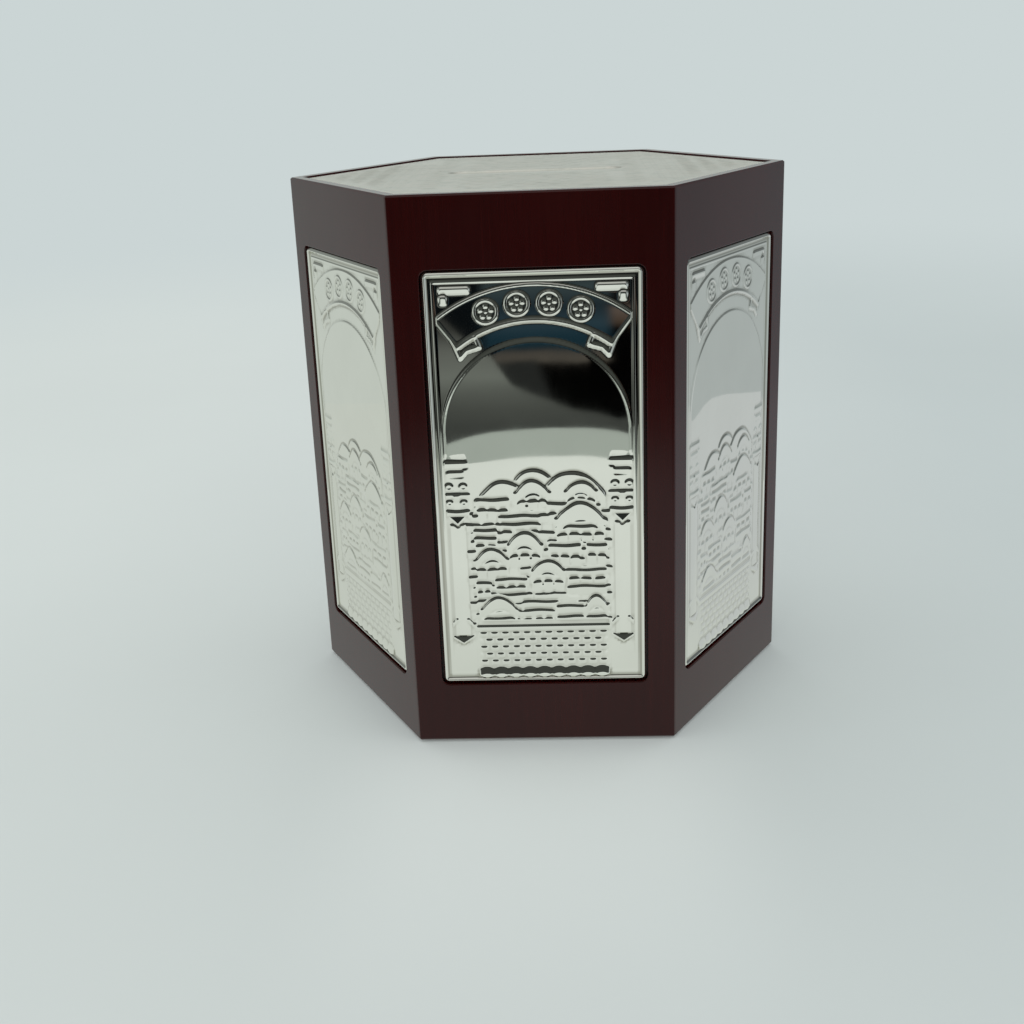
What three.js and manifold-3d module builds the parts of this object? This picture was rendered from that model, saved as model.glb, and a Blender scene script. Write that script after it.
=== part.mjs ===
// A hexagonal alms box: six mitred wooden walls, a board let in at the top and another at the base,
// a stamped silver-plated plate in a pocket on each side and on the top board, and a rubber stopper.
// Millimetres, +Z up, origin at the middle of the underside, front side facing -Y.
import * as THREE from "three";
import { mergeVertices } from "three/addons/utils/BufferGeometryUtils.js";
import Module from "manifold-3d";

// Case
const ACROSS_FLATS = 98;
const HEIGHT = 120;
const WALL = 6;
const RIM_LIP = 3; // what the rabbets leave of a wall at its top and bottom edge
const CORNER_RADIUS = 0.6;
const EDGE_EASE = 0.4;
const GLUE_LINE = 0.05; // between faces that are glued together
const CLEARANCE = 0.3; // round pieces that drop into a rabbet, a pocket or a hole

// Top and base boards
const TOP_BOARD = 6;
const BASE_BOARD = 6;
const BOARD_CORNER_RADIUS = 1.2;
const SLOT_LENGTH = 38;
const SLOT_WIDTH = 5;
const SLOT_END_FLAT = 0.01;
const SLOT_WOOD_MARGIN = 0.8; // by which the slot in the wood is larger on every side
const RIM_ABOVE_PLATE = 0.3; // how far the wooden rim stands above the top plate's border

// Plates and the adhesive sheets under them
const PLATE_WIDTH = 44.4;
const PLATE_HEIGHT = 90.2;
const PLATE_TOP_MARGIN = 15.3;
const PLATE_CORNER_RADIUS = 1.2;
const SHEET = 0.5;
const ADHESIVE = 0.4;
const ADHESIVE_INSET = 2;
const SINK = 0.2; // how far a side plate's border lies below the wood around it
const POCKET_GAP = 0.4;
const POCKET_RADIUS = 1.7;

// Border bead and inner line of every plate
const BEAD_WIDTH = 1;
const BEAD_RISE = 0.5;
const BEAD_ROUND = 0.22;
const INNER_LINE_INSET = 1.85;
const INNER_LINE_WIDTH = 0.5;
const INNER_LINE_RISE = 0.18;

// Arch, banner and corner blocks of a side plate
const ARCH_SIDE_MARGIN = 2.4;
const ARCH_CROWN_MARGIN = 13.8;
const ARCH_WIDTH = 0.7;
const ARCH_RISE = 0.3;
const BANNER_SIDE_MARGIN = 2.2;
const BANNER_TOP_MARGIN = 2.9;
const BANNER_DEPTH = 7.2;
const BANNER_RADIUS = 33;
const BANNER_RISE = 0.28;
const BOSSES = 4;
const BOSS_RADIUS = 1.7;
const BOSS_PITCH = 5.6;
const BOSS_RISE = 0.2;
const TAIL_LENGTH = 6;
const TAIL_WIDTH = 3.4;
const TAIL_INSET = 1.4;
const BLOCK_LENGTH = 6.6;
const BLOCK_DROP = 3.6;
const BLOCK_WIDTH = 1.5;
const BLOCK_INSET = 1; // from the inner line
const BLOCK_RISE = 0.26;

// Columns of a side plate
const COLUMN_FROM_EDGE = 4.8;
const COLUMN_TOP_MARGIN = 39.8;
const SHAFT_WIDTH = 3.6;
const SHAFT_RISE = 0.42;
const CAPITAL_WIDTH = 5.4;
const CAPITAL_HEIGHT = 13.6;
const CAPITAL_RISE = 0.45;
const ABACUS_HEIGHT = 1;
const BLOCK_BELOW_TOP = 2.8;
const CAPITAL_BLOCK_HEIGHT = 1.6;
const CAPITAL_BLOCK_RISE = 0.28;
const VOLUTE_RADIUS = 1.2;
const VOLUTE_BELOW_TOP = 6;
const ROSETTE_RADIUS = 1.4;
const ROSETTE_BELOW_TOP = 9.8;
const NECK_WIDTH = 4.6;
const NECK_HEIGHT = 0.9;
const BASE_FROM_BOTTOM = 6.6;
const PLINTH_HEIGHT = 3.2;
const PLINTH_RISE = 0.36;
const TORUS_GAP = 0.7;
const TORUS_WIDTH = 4.4;
const TORUS_HEIGHT = 1.8;

// Town, hills and town wall of a side plate
const TOWN_GAP = 0.5; // between the capitals and the town
const COURSES = 5;
const COURSE_JOINT = 0.5;
const TOWN_WALL_HEIGHT = 10.4;
const FOOT_STONES = 9; // large stones in a row below the courses
const FOOT_ROW = 2.1;
const FOOT_STONE_RISE = 0.24;
const TOWN_WALL_RISE = 0.2;
const COURSE_RISE = 0.12;
const HILL_RISE = 0.14;
const TIER_STEP = 0.05;
const DOME_RISE = 0.1;
const DOME_FOOT = 0.4; // by which a dome reaches down over its house
const DOME_SHARE = 0.72; // of the width of its house
const HILL_FOOT = 1;

// Ornament of the top plate
const TOP_PILLAR_X = 26;
const TOP_PILLAR_SPACING = 2.2;
const TOP_PILLARS = 3;
const TOP_PILLAR_WIDTH = 1.1;
const TOP_PILLAR_RISE = 0.25;
const SLOT_LIP_WIDTH = 1.2;
const SLOT_LIP_RISE = 0.5;
const CARTOUCHE_MARGIN = 5;
const CARTOUCHE_WIDTH = 0.7;
const TOP_STONE_WIDTH = 6.4;
const TOP_STONE_LENGTH = 6.8;
const TOP_STONE_JOINT = 0.5;
const TOP_STONE_RISE = 0.15;

// Stopper and its hole, and the felt
const HOLE_DIAMETER = 35;
const FLANGE_DIAMETER = 43;
const FLANGE = 1.8;
const FLANGE_SETBACK = 0.5; // by which the flange stays above the felt's underside
const STOPPER_REACH = 10;
const STOPPER_WALL = 2.4;
const STOPPER_TAPER = 0.7;
const CROWN_EASE = 1;
const GRIP_THICKNESS = 3.4;
const GRIP_SETBACK = 0.6;
const FELT = 1;
const FELT_INSET = 1.2;
const WALL_FOOT = 0.4; // by which the felt stands below the walls
const ROUND_SEGMENTS = 36;
const OVERCUT = 1; // by which every cut runs past the faces it opens

// Places that follow from the sizes above
const APOTHEM = ACROSS_FLATS / 2;
const SIXTH = Math.PI / 3;
const PLATE_DEPTH = SHEET + BEAD_RISE;
const POCKET_DEPTH = SINK + PLATE_DEPTH + ADHESIVE + 2 * GLUE_LINE;
const PLATE_Z = HEIGHT - PLATE_TOP_MARGIN - PLATE_HEIGHT / 2;
const TOP_PLATE_Z = HEIGHT - RIM_ABOVE_PLATE - PLATE_DEPTH;
const TOP_ADHESIVE_Z = TOP_PLATE_Z - GLUE_LINE - ADHESIVE;
const TOP_BOARD_Z = TOP_ADHESIVE_Z - GLUE_LINE - TOP_BOARD;
const TOP_LEDGE = TOP_BOARD_Z - GLUE_LINE;
const BASE_BOARD_Z = FELT + GLUE_LINE;
const BASE_LEDGE = BASE_BOARD_Z + BASE_BOARD + GLUE_LINE;
const LIP_APOTHEM = APOTHEM - RIM_LIP;
const BOARD_APOTHEM = LIP_APOTHEM - CLEARANCE;

const wasm = await Module();
wasm.setup();

const lacquer = new THREE.MeshStandardMaterial({ color: 0x3a0f0d, roughness: 0.3, metalness: 0 });
const fibreboard = new THREE.MeshStandardMaterial({ color: 0x4a2018, roughness: 0.6, metalness: 0 });
const silver = new THREE.MeshStandardMaterial({ color: 0xeceae0, roughness: 0.12, metalness: 1 });
const foam = new THREE.MeshStandardMaterial({ color: 0xd8d6cc, roughness: 0.9, metalness: 0 });
const rubber = new THREE.MeshStandardMaterial({ color: 0x161616, roughness: 0.6, metalness: 0 });
const feltCloth = new THREE.MeshStandardMaterial({ color: 0x1c0c10, roughness: 1, metalness: 0 });

// Solids

function toSolid(geometry) {
  const bare = new THREE.BufferGeometry();
  bare.setAttribute("position", geometry.getAttribute("position"));
  if (geometry.index) bare.setIndex(geometry.index);
  const merged = mergeVertices(bare, 1e-4);
  return new wasm.Manifold(
    new wasm.Mesh({
      numProp: 3,
      vertProperties: merged.attributes.position.array,
      triVerts: new Uint32Array(merged.index.array),
    }),
  );
}

function toGeometry(solid) {
  const mesh = solid.getMesh();
  const geometry = new THREE.BufferGeometry();
  geometry.setAttribute("position", new THREE.BufferAttribute(mesh.vertProperties, 3));
  geometry.setIndex(new THREE.BufferAttribute(mesh.triVerts, 1));
  geometry.computeVertexNormals();
  return geometry;
}

function extrude(shape, depth, z = 0, curveSegments = 2) {
  return new THREE.ExtrudeGeometry(shape, { depth, bevelEnabled: false, curveSegments }).translate(0, 0, z);
}

function unite(geometries) {
  return geometries.map(toSolid).reduce((whole, piece) => whole.add(piece));
}

// Shapes

function rectangle(x, y, width, height) {
  return new THREE.Shape()
    .moveTo(x - width / 2, y - height / 2)
    .lineTo(x + width / 2, y - height / 2)
    .lineTo(x + width / 2, y + height / 2)
    .lineTo(x - width / 2, y + height / 2)
    .closePath();
}

function roundedRectangle(width, height, radius, y = 0) {
  const [x, top, bottom] = [width / 2 - radius, y + height / 2 - radius, y - height / 2 + radius];
  const shape = new THREE.Shape();
  shape.absarc(x, top, radius, 0, Math.PI / 2);
  shape.absarc(-x, top, radius, Math.PI / 2, Math.PI);
  shape.absarc(-x, bottom, radius, Math.PI, 1.5 * Math.PI);
  shape.absarc(x, bottom, radius, 1.5 * Math.PI, 2 * Math.PI);
  return shape;
}

function hexagon(apothem, radius) {
  const shape = new THREE.Shape();
  for (let corner = 0; corner < 6; corner++) {
    const angle = corner * SIXTH;
    const reach = (apothem - radius) / Math.cos(SIXTH / 2);
    const [x, y] = [reach * Math.cos(angle), reach * Math.sin(angle)];
    shape.absarc(x, y, radius, angle - SIXTH / 2, angle + SIXTH / 2);
  }
  return shape;
}

// A slot's ends keep a hair of flat, so that no two of its corner points coincide.
function slot(length, width) {
  return roundedRectangle(length, width, width / 2 - SLOT_END_FLAT);
}

function disc(x, y, radius) {
  return new THREE.Shape().absarc(x, y, radius, 0, 2 * Math.PI);
}

function arcBand(y, inner, outer, from, to) {
  const shape = new THREE.Shape();
  shape.absarc(0, y, outer, from, to);
  shape.absarc(0, y, inner, to, from, true);
  return shape.closePath();
}

// A circular segment of a given rise on a chord, carried down by drop below the chord.
function mound(x, y, width, rise, drop) {
  const radius = (width ** 2 / 4 + rise ** 2) / (2 * rise);
  const half = Math.asin(Math.min(1, width / 2 / radius));
  const shape = new THREE.Shape();
  shape.absarc(x, y + rise - radius, radius, Math.PI / 2 - half, Math.PI / 2 + half);
  if (drop > 0) shape.lineTo(x - width / 2, y - drop).lineTo(x + width / 2, y - drop);
  return shape.closePath();
}

function ring(outline, hole) {
  outline.holes.push(hole);
  return outline;
}

// Walls

// The end of a wall lies on the plane between two sides, half a glue line short of it.
function halfLength(apothem) {
  return apothem * Math.tan(SIXTH / 2) - GLUE_LINE / 2 / Math.cos(SIXTH / 2);
}

// A wall's upright section, as points of distance from the axis and height.
function wallSection() {
  const [inside, lip] = [APOTHEM - WALL, LIP_APOTHEM];
  return [
    [lip, WALL_FOOT],
    [APOTHEM - EDGE_EASE, WALL_FOOT],
    [APOTHEM, WALL_FOOT + EDGE_EASE],
    [APOTHEM, HEIGHT - EDGE_EASE],
    [APOTHEM - EDGE_EASE, HEIGHT],
    [lip + EDGE_EASE, HEIGHT],
    [lip, HEIGHT - EDGE_EASE],
    [lip, TOP_LEDGE],
    [inside, TOP_LEDGE],
    [inside, BASE_LEDGE],
    [lip, BASE_LEDGE],
  ];
}

// The section swept along the front side, with both ends cut to the mitre.
function mitredWall() {
  const section = wallSection();
  const count = section.length;
  const left = section.map(([apothem, z]) => [-halfLength(apothem), -apothem, z]);
  const right = section.map(([apothem, z]) => [halfLength(apothem), -apothem, z]);
  const contour = section.map(([apothem, z]) => new THREE.Vector2(apothem, z));
  const cap = THREE.ShapeUtils.triangulateShape(contour, []);
  const faces = cap.flatMap(([a, b, c]) => [a, b, c, a + count, c + count, b + count]);
  for (let i = 0; i < count; i++) {
    const next = (i + 1) % count;
    faces.push(next, i, i + count, next, i + count, next + count);
  }
  const geometry = new THREE.BufferGeometry();
  geometry.setAttribute("position", new THREE.Float32BufferAttribute([...left, ...right].flat(), 3));
  geometry.setIndex(faces);
  return geometry;
}

// Stands what was drawn flat up against the front side, with its back at a distance from the axis.
function standUp(geometry, apothem) {
  return geometry.rotateX(Math.PI / 2).translate(0, -apothem, PLATE_Z);
}

function wallGeometry() {
  const pocket = roundedRectangle(
    PLATE_WIDTH + 2 * POCKET_GAP,
    PLATE_HEIGHT + 2 * POCKET_GAP,
    POCKET_RADIUS,
  );
  const roundedCase = extrude(hexagon(APOTHEM, CORNER_RADIUS), HEIGHT, 0, 3);
  const solid = toSolid(mitredWall())
    .intersect(toSolid(roundedCase))
    .subtract(toSolid(standUp(extrude(pocket, POCKET_DEPTH + OVERCUT), APOTHEM - POCKET_DEPTH)));
  return toGeometry(solid);
}

// Stamped side plate, drawn flat with its middle at the origin and its back at height nought

const PLATE_TOP = PLATE_HEIGHT / 2;
const PLATE_BOTTOM = -PLATE_HEIGHT / 2;
const LINE_INSIDE = INNER_LINE_INSET + INNER_LINE_WIDTH;
const ARCH_RADIUS = PLATE_WIDTH / 2 - ARCH_SIDE_MARGIN;
const ARCH_SPRING = PLATE_TOP - ARCH_CROWN_MARGIN - ARCH_RADIUS;
const BANNER_CENTRE = PLATE_TOP - BANNER_TOP_MARGIN - BANNER_RADIUS;
const BANNER_HALF_ANGLE = Math.asin((PLATE_WIDTH / 2 - BANNER_SIDE_MARGIN) / BANNER_RADIUS);
const COLUMN_X = PLATE_WIDTH / 2 - COLUMN_FROM_EDGE;
const COLUMN_TOP = PLATE_TOP - COLUMN_TOP_MARGIN;
const NECK = COLUMN_TOP - CAPITAL_HEIGHT;
const COLUMN_FOOT = PLATE_BOTTOM + BASE_FROM_BOTTOM;
const TOWN_HALF = COLUMN_X - CAPITAL_WIDTH / 2 - TOWN_GAP;
const TOWN_FOOT = PLATE_BOTTOM + LINE_INSIDE;
const WALL_TOP = TOWN_FOOT + TOWN_WALL_HEIGHT;
const TOWN_HEIGHT = COLUMN_TOP - WALL_TOP;

// Raises a shape from inside the sheet to a height above its face.
function raise(shape, height, curveSegments) {
  return extrude(shape, SHEET / 2 + height, SHEET / 2, curveSegments);
}

function bead(outline, hole) {
  const depth = SHEET / 2 + BEAD_RISE - BEAD_ROUND;
  const bevel = { bevelThickness: BEAD_ROUND, bevelSize: BEAD_ROUND, bevelOffset: -BEAD_ROUND };
  const options = { depth, ...bevel, bevelSegments: 1, curveSegments: 2 };
  return new THREE.ExtrudeGeometry(ring(outline, hole), options).translate(0, 0, SHEET / 2);
}

function plateOutline(inset) {
  const radius = Math.max(PLATE_CORNER_RADIUS - inset, BEAD_ROUND + 0.1);
  return roundedRectangle(PLATE_WIDTH - 2 * inset, PLATE_HEIGHT - 2 * inset, radius);
}

function lineOutline(inset) {
  return rectangle(0, 0, PLATE_WIDTH - 2 * inset, PLATE_HEIGHT - 2 * inset);
}

function plateFrame() {
  return [
    extrude(plateOutline(0), SHEET),
    bead(plateOutline(0), plateOutline(BEAD_WIDTH)),
    raise(ring(lineOutline(INNER_LINE_INSET), lineOutline(LINE_INSIDE)), INNER_LINE_RISE),
  ];
}

// A half circle carried down on two straight legs to the capitals.
function arch() {
  const inner = ARCH_RADIUS - ARCH_WIDTH;
  const shape = new THREE.Shape();
  shape.absarc(0, ARCH_SPRING, ARCH_RADIUS, 0, Math.PI);
  shape.lineTo(-ARCH_RADIUS, COLUMN_TOP).lineTo(-inner, COLUMN_TOP);
  shape.absarc(0, ARCH_SPRING, inner, Math.PI, 0, true);
  shape.lineTo(inner, COLUMN_TOP).lineTo(ARCH_RADIUS, COLUMN_TOP);
  return raise(shape.closePath(), ARCH_RISE, 8);
}

function banner() {
  const [from, to] = [Math.PI / 2 - BANNER_HALF_ANGLE, Math.PI / 2 + BANNER_HALF_ANGLE];
  const inner = BANNER_RADIUS - BANNER_DEPTH;
  const middle = BANNER_RADIUS - BANNER_DEPTH / 2;
  const bosses = Array.from({ length: BOSSES }, (_, i) => {
    const turn = ((i - (BOSSES - 1) / 2) * BOSS_PITCH) / middle;
    const boss = disc(middle * Math.sin(turn), BANNER_CENTRE + middle * Math.cos(turn), BOSS_RADIUS);
    return raise(boss, BANNER_RISE + BOSS_RISE, 3);
  });
  const band = raise(arcBand(BANNER_CENTRE, inner, BANNER_RADIUS, from, to), BANNER_RISE, 6);
  return [band, ...bosses, bannerTail(-1, inner), bannerTail(1, inner)];
}

// The folded end of the banner, a notched tongue that hangs below the band.
function bannerTail(side, inner) {
  const x = side * (inner * Math.sin(BANNER_HALF_ANGLE) - TAIL_INSET);
  const y = BANNER_CENTRE + inner * Math.cos(BANNER_HALF_ANGLE);
  const half = TAIL_WIDTH / 2;
  const tail = new THREE.Shape()
    .moveTo(x - half, y + TAIL_LENGTH / 2)
    .lineTo(x - half, y - TAIL_LENGTH / 2)
    .lineTo(x, y - TAIL_LENGTH / 4)
    .lineTo(x + half, y - TAIL_LENGTH / 2)
    .lineTo(x + half, y + TAIL_LENGTH / 2)
    .closePath();
  return raise(tail, BANNER_RISE / 2);
}

function cornerBlock(side) {
  const x = side * (PLATE_WIDTH / 2 - LINE_INSIDE - BLOCK_INSET);
  const y = PLATE_TOP - LINE_INSIDE - BLOCK_INSET;
  const block = new THREE.Shape()
    .moveTo(x, y)
    .lineTo(x - side * BLOCK_LENGTH, y)
    .lineTo(x - side * BLOCK_LENGTH, y - BLOCK_WIDTH)
    .lineTo(x - side * BLOCK_WIDTH, y - BLOCK_WIDTH)
    .lineTo(x - side * BLOCK_WIDTH, y - BLOCK_DROP)
    .lineTo(x, y - BLOCK_DROP)
    .closePath();
  return raise(block, BLOCK_RISE);
}

// A half-round shaft: a low circular section drawn out along the plate's height.
function shaft(x, from, to) {
  const section = mound(0, 0, SHAFT_WIDTH, SHAFT_RISE, SHEET / 2);
  const bar = extrude(section, to - from, 0, 4);
  return bar.rotateX(Math.PI / 2).translate(x, to, SHEET);
}

function column(side) {
  const x = side * COLUMN_X;
  const bar = (y, width, height, rise) => raise(rectangle(x, y, width, height), rise);
  const volutes = [-1, 1].map((way) => {
    const out = x + way * (CAPITAL_WIDTH / 2 - VOLUTE_RADIUS);
    return raise(disc(out, COLUMN_TOP - VOLUTE_BELOW_TOP, VOLUTE_RADIUS), CAPITAL_RISE, 3);
  });
  const blockTop = COLUMN_TOP - BLOCK_BELOW_TOP;
  const torusFoot = COLUMN_FOOT + PLINTH_HEIGHT + TORUS_GAP;
  return [
    shaft(x, torusFoot + TORUS_HEIGHT / 2, NECK + NECK_HEIGHT / 2),
    bar(COLUMN_TOP - ABACUS_HEIGHT / 2, CAPITAL_WIDTH, ABACUS_HEIGHT, CAPITAL_RISE),
    bar(blockTop - CAPITAL_BLOCK_HEIGHT / 2, SHAFT_WIDTH, CAPITAL_BLOCK_HEIGHT, CAPITAL_BLOCK_RISE),
    ...volutes,
    raise(disc(x, COLUMN_TOP - ROSETTE_BELOW_TOP, ROSETTE_RADIUS), CAPITAL_RISE, 3),
    bar(NECK + NECK_HEIGHT / 2, NECK_WIDTH, NECK_HEIGHT, CAPITAL_RISE),
    bar(torusFoot + TORUS_HEIGHT / 2, TORUS_WIDTH, TORUS_HEIGHT, CAPITAL_RISE),
    bar(COLUMN_FOOT + PLINTH_HEIGHT / 2, CAPITAL_WIDTH, PLINTH_HEIGHT, PLINTH_RISE),
  ];
}

// Hills, then the houses of the town in tiers, each tier standing a little prouder than the last.
// All are shares of the town's half width and of its height above the town wall.
const HILLS = [
  { at: -0.5, foot: 0.9, width: 0.9, rise: 0.08 },
  { at: 0.5, foot: 0.91, width: 0.94, rise: 0.1 },
  { at: 0, foot: 0.84, width: 0.86, rise: 0.07 },
];
const HOUSES = [
  { at: 0.78, foot: 0.62, width: 0.42, height: 0.15, dome: 0, tier: 1 },
  { at: 0.4, foot: 0.64, width: 0.36, height: 0.15, dome: 0.05, tier: 1 },
  { at: -0.42, foot: 0.6, width: 0.42, height: 0.17, dome: 0.06, tier: 1 },
  { at: 0.14, foot: 0.46, width: 0.44, height: 0.15, dome: 0.06, tier: 2 },
  { at: -0.66, foot: 0.44, width: 0.48, height: 0.13, dome: 0, tier: 2 },
  { at: 0.5, foot: 0.28, width: 0.52, height: 0.14, dome: 0.06, tier: 3 },
  { at: -0.5, foot: 0.26, width: 0.46, height: 0.14, dome: 0.05, tier: 3 },
  { at: 0.2, foot: 0.12, width: 0.44, height: 0.13, dome: 0, tier: 4 },
  { at: -0.76, foot: 0.12, width: 0.44, height: 0.12, dome: 0, tier: 4 },
  { at: 0.58, foot: 0, width: 0.46, height: 0.11, dome: 0.05, tier: 5 },
  { at: -0.03, foot: 0, width: 0.5, height: 0.09, dome: 0, tier: 5 },
];

function hills() {
  return HILLS.map(({ at, foot, width, rise }) => {
    const [x, y] = [at * TOWN_HALF, WALL_TOP + foot * TOWN_HEIGHT];
    return raise(mound(x, y, width * TOWN_HALF, rise * TOWN_HEIGHT, HILL_FOOT), HILL_RISE, 3);
  });
}

function house({ at, foot, width, height, dome, tier }) {
  const [x, wide, tall] = [at * TOWN_HALF, width * TOWN_HALF, height * TOWN_HEIGHT];
  const y = WALL_TOP + foot * TOWN_HEIGHT;
  const rise = HILL_RISE + tier * TIER_STEP;
  const body = raise(rectangle(x, y + tall / 2, wide, tall), rise);
  if (dome === 0) return [body];
  const roof = mound(x, y + tall, wide * DOME_SHARE, dome * TOWN_HEIGHT, DOME_FOOT);
  return [body, raise(roof, rise + DOME_RISE, 3)];
}

function townWall() {
  const pitch = (TOWN_WALL_HEIGHT - FOOT_ROW) / COURSES;
  const block = rectangle(0, TOWN_FOOT + TOWN_WALL_HEIGHT / 2, 2 * TOWN_HALF, TOWN_WALL_HEIGHT);
  const courses = Array.from({ length: COURSES }, (_, i) => {
    const [width, height] = [2 * TOWN_HALF - COURSE_JOINT, pitch - COURSE_JOINT];
    const course = rectangle(0, TOWN_FOOT + FOOT_ROW + (i + 0.5) * pitch, width, height);
    return raise(course, TOWN_WALL_RISE + COURSE_RISE);
  });
  const stoneWidth = (2 * TOWN_HALF) / FOOT_STONES;
  const footStones = Array.from({ length: FOOT_STONES }, (_, i) => {
    const [x, y] = [(i - (FOOT_STONES - 1) / 2) * stoneWidth, TOWN_FOOT + FOOT_ROW / 2];
    const stone = rectangle(x, y, stoneWidth - COURSE_JOINT, FOOT_ROW - COURSE_JOINT);
    return raise(stone, TOWN_WALL_RISE + FOOT_STONE_RISE);
  });
  return [raise(block, TOWN_WALL_RISE), ...courses, ...footStones];
}

function sidePlateGeometry() {
  const pieces = [
    ...plateFrame(),
    arch(),
    ...banner(),
    ...[-1, 1].flatMap((way) => [cornerBlock(way), ...column(way)]),
    ...hills(),
    ...HOUSES.flatMap(house),
    ...townWall(),
  ];
  return toGeometry(unite(pieces));
}

function sideAdhesiveGeometry() {
  const width = PLATE_WIDTH - 2 * ADHESIVE_INSET;
  const height = PLATE_HEIGHT - 2 * ADHESIVE_INSET;
  return extrude(rectangle(0, 0, width, height), ADHESIVE);
}

// Top board, its adhesive sheet and its plate

function topBoardGeometry() {
  const board = hexagon(BOARD_APOTHEM, BOARD_CORNER_RADIUS);
  board.holes.push(slot(SLOT_LENGTH + 2 * SLOT_WOOD_MARGIN, SLOT_WIDTH + 2 * SLOT_WOOD_MARGIN));
  return extrude(board, TOP_BOARD, TOP_BOARD_Z);
}

function topAdhesiveGeometry() {
  const sheet = hexagon(BOARD_APOTHEM - ADHESIVE_INSET, BOARD_CORNER_RADIUS);
  const inset = SLOT_WOOD_MARGIN + ADHESIVE_INSET;
  sheet.holes.push(slot(SLOT_LENGTH + 2 * inset, SLOT_WIDTH + 2 * inset));
  return extrude(sheet, ADHESIVE, TOP_ADHESIVE_Z);
}

// Half the depth of the top plate's field at a distance across from its middle.
const FIELD_APOTHEM = BOARD_APOTHEM - LINE_INSIDE;
function fieldHalfDepth(x) {
  const beyond = FIELD_APOTHEM / Math.cos(SIXTH / 2) - Math.abs(x);
  return Math.min(FIELD_APOTHEM, beyond * Math.tan(SIXTH));
}

function topPillars(side) {
  return Array.from({ length: TOP_PILLARS }, (_, i) => {
    const x = side * (TOP_PILLAR_X + i * TOP_PILLAR_SPACING);
    const depth = 2 * fieldHalfDepth(Math.abs(x) + TOP_PILLAR_WIDTH / 2) - TOP_PILLAR_WIDTH;
    return raise(rectangle(x, 0, TOP_PILLAR_WIDTH, depth), TOP_PILLAR_RISE);
  });
}

// Courses of stones in the corner beyond the pillars.
function topStones(side) {
  const start = TOP_PILLAR_X + TOP_PILLARS * TOP_PILLAR_SPACING;
  const reach = FIELD_APOTHEM / Math.cos(SIXTH / 2);
  const columns = Math.floor((reach - start) / TOP_STONE_LENGTH);
  const faces = [];
  for (let column = 0; column < columns; column++) {
    const rows = Math.floor(fieldHalfDepth(start + (column + 1) * TOP_STONE_LENGTH) / TOP_STONE_WIDTH);
    for (let row = -rows; row < rows; row++) {
      const x = side * (start + (column + 0.5) * TOP_STONE_LENGTH);
      const y = (row + 0.5) * TOP_STONE_WIDTH;
      const [length, width] = [TOP_STONE_LENGTH - TOP_STONE_JOINT, TOP_STONE_WIDTH - TOP_STONE_JOINT];
      faces.push(raise(rectangle(x, y, length, width), TOP_STONE_RISE));
    }
  }
  return faces;
}

function cartouche() {
  const within = CARTOUCHE_MARGIN - CARTOUCHE_WIDTH;
  const outline = (margin) =>
    roundedRectangle(SLOT_LENGTH + 2 * margin, SLOT_WIDTH + 2 * margin, margin);
  return raise(ring(outline(CARTOUCHE_MARGIN), outline(within)), TOP_PILLAR_RISE);
}

function topPlateGeometry() {
  const inset = (distance) => hexagon(BOARD_APOTHEM - distance, BOARD_CORNER_RADIUS);
  const lip = slot(SLOT_LENGTH + 2 * SLOT_LIP_WIDTH, SLOT_WIDTH + 2 * SLOT_LIP_WIDTH);
  const solid = unite([
    extrude(inset(0), SHEET),
    bead(inset(0), inset(BEAD_WIDTH)),
    raise(ring(inset(INNER_LINE_INSET), inset(LINE_INSIDE)), INNER_LINE_RISE),
    raise(lip, SLOT_LIP_RISE),
    cartouche(),
    ...[-1, 1].flatMap((way) => [...topPillars(way), ...topStones(way)]),
  ]);
  const opening = toSolid(extrude(slot(SLOT_LENGTH, SLOT_WIDTH), PLATE_DEPTH + 2 * OVERCUT, -OVERCUT));
  return toGeometry(solid.subtract(opening)).translate(0, 0, TOP_PLATE_Z);
}

// Base board, felt and stopper

const FLANGE_Z = FLANGE_SETBACK;
const SEAT_Z = FLANGE_Z + FLANGE + CLEARANCE;
const SEAT_RADIUS = FLANGE_DIAMETER / 2 + CLEARANCE;

function cylinder(radius, from, to) {
  const geometry = new THREE.CylinderGeometry(radius, radius, to - from, ROUND_SEGMENTS);
  return geometry.rotateX(Math.PI / 2).translate(0, 0, (from + to) / 2);
}

function baseBoardGeometry() {
  const board = extrude(hexagon(BOARD_APOTHEM, BOARD_CORNER_RADIUS), BASE_BOARD, BASE_BOARD_Z);
  const solid = toSolid(board)
    .subtract(toSolid(cylinder(HOLE_DIAMETER / 2, BASE_BOARD_Z - OVERCUT, BASE_LEDGE + OVERCUT)))
    .subtract(toSolid(cylinder(SEAT_RADIUS, BASE_BOARD_Z - OVERCUT, SEAT_Z)));
  return toGeometry(solid);
}

function feltGeometry() {
  const sheet = extrude(hexagon(BOARD_APOTHEM - FELT_INSET, BOARD_CORNER_RADIUS), FELT);
  const hole = cylinder(SEAT_RADIUS + FELT_INSET, -OVERCUT, FELT + OVERCUT);
  return toGeometry(toSolid(sheet).subtract(toSolid(hole)));
}

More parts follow.
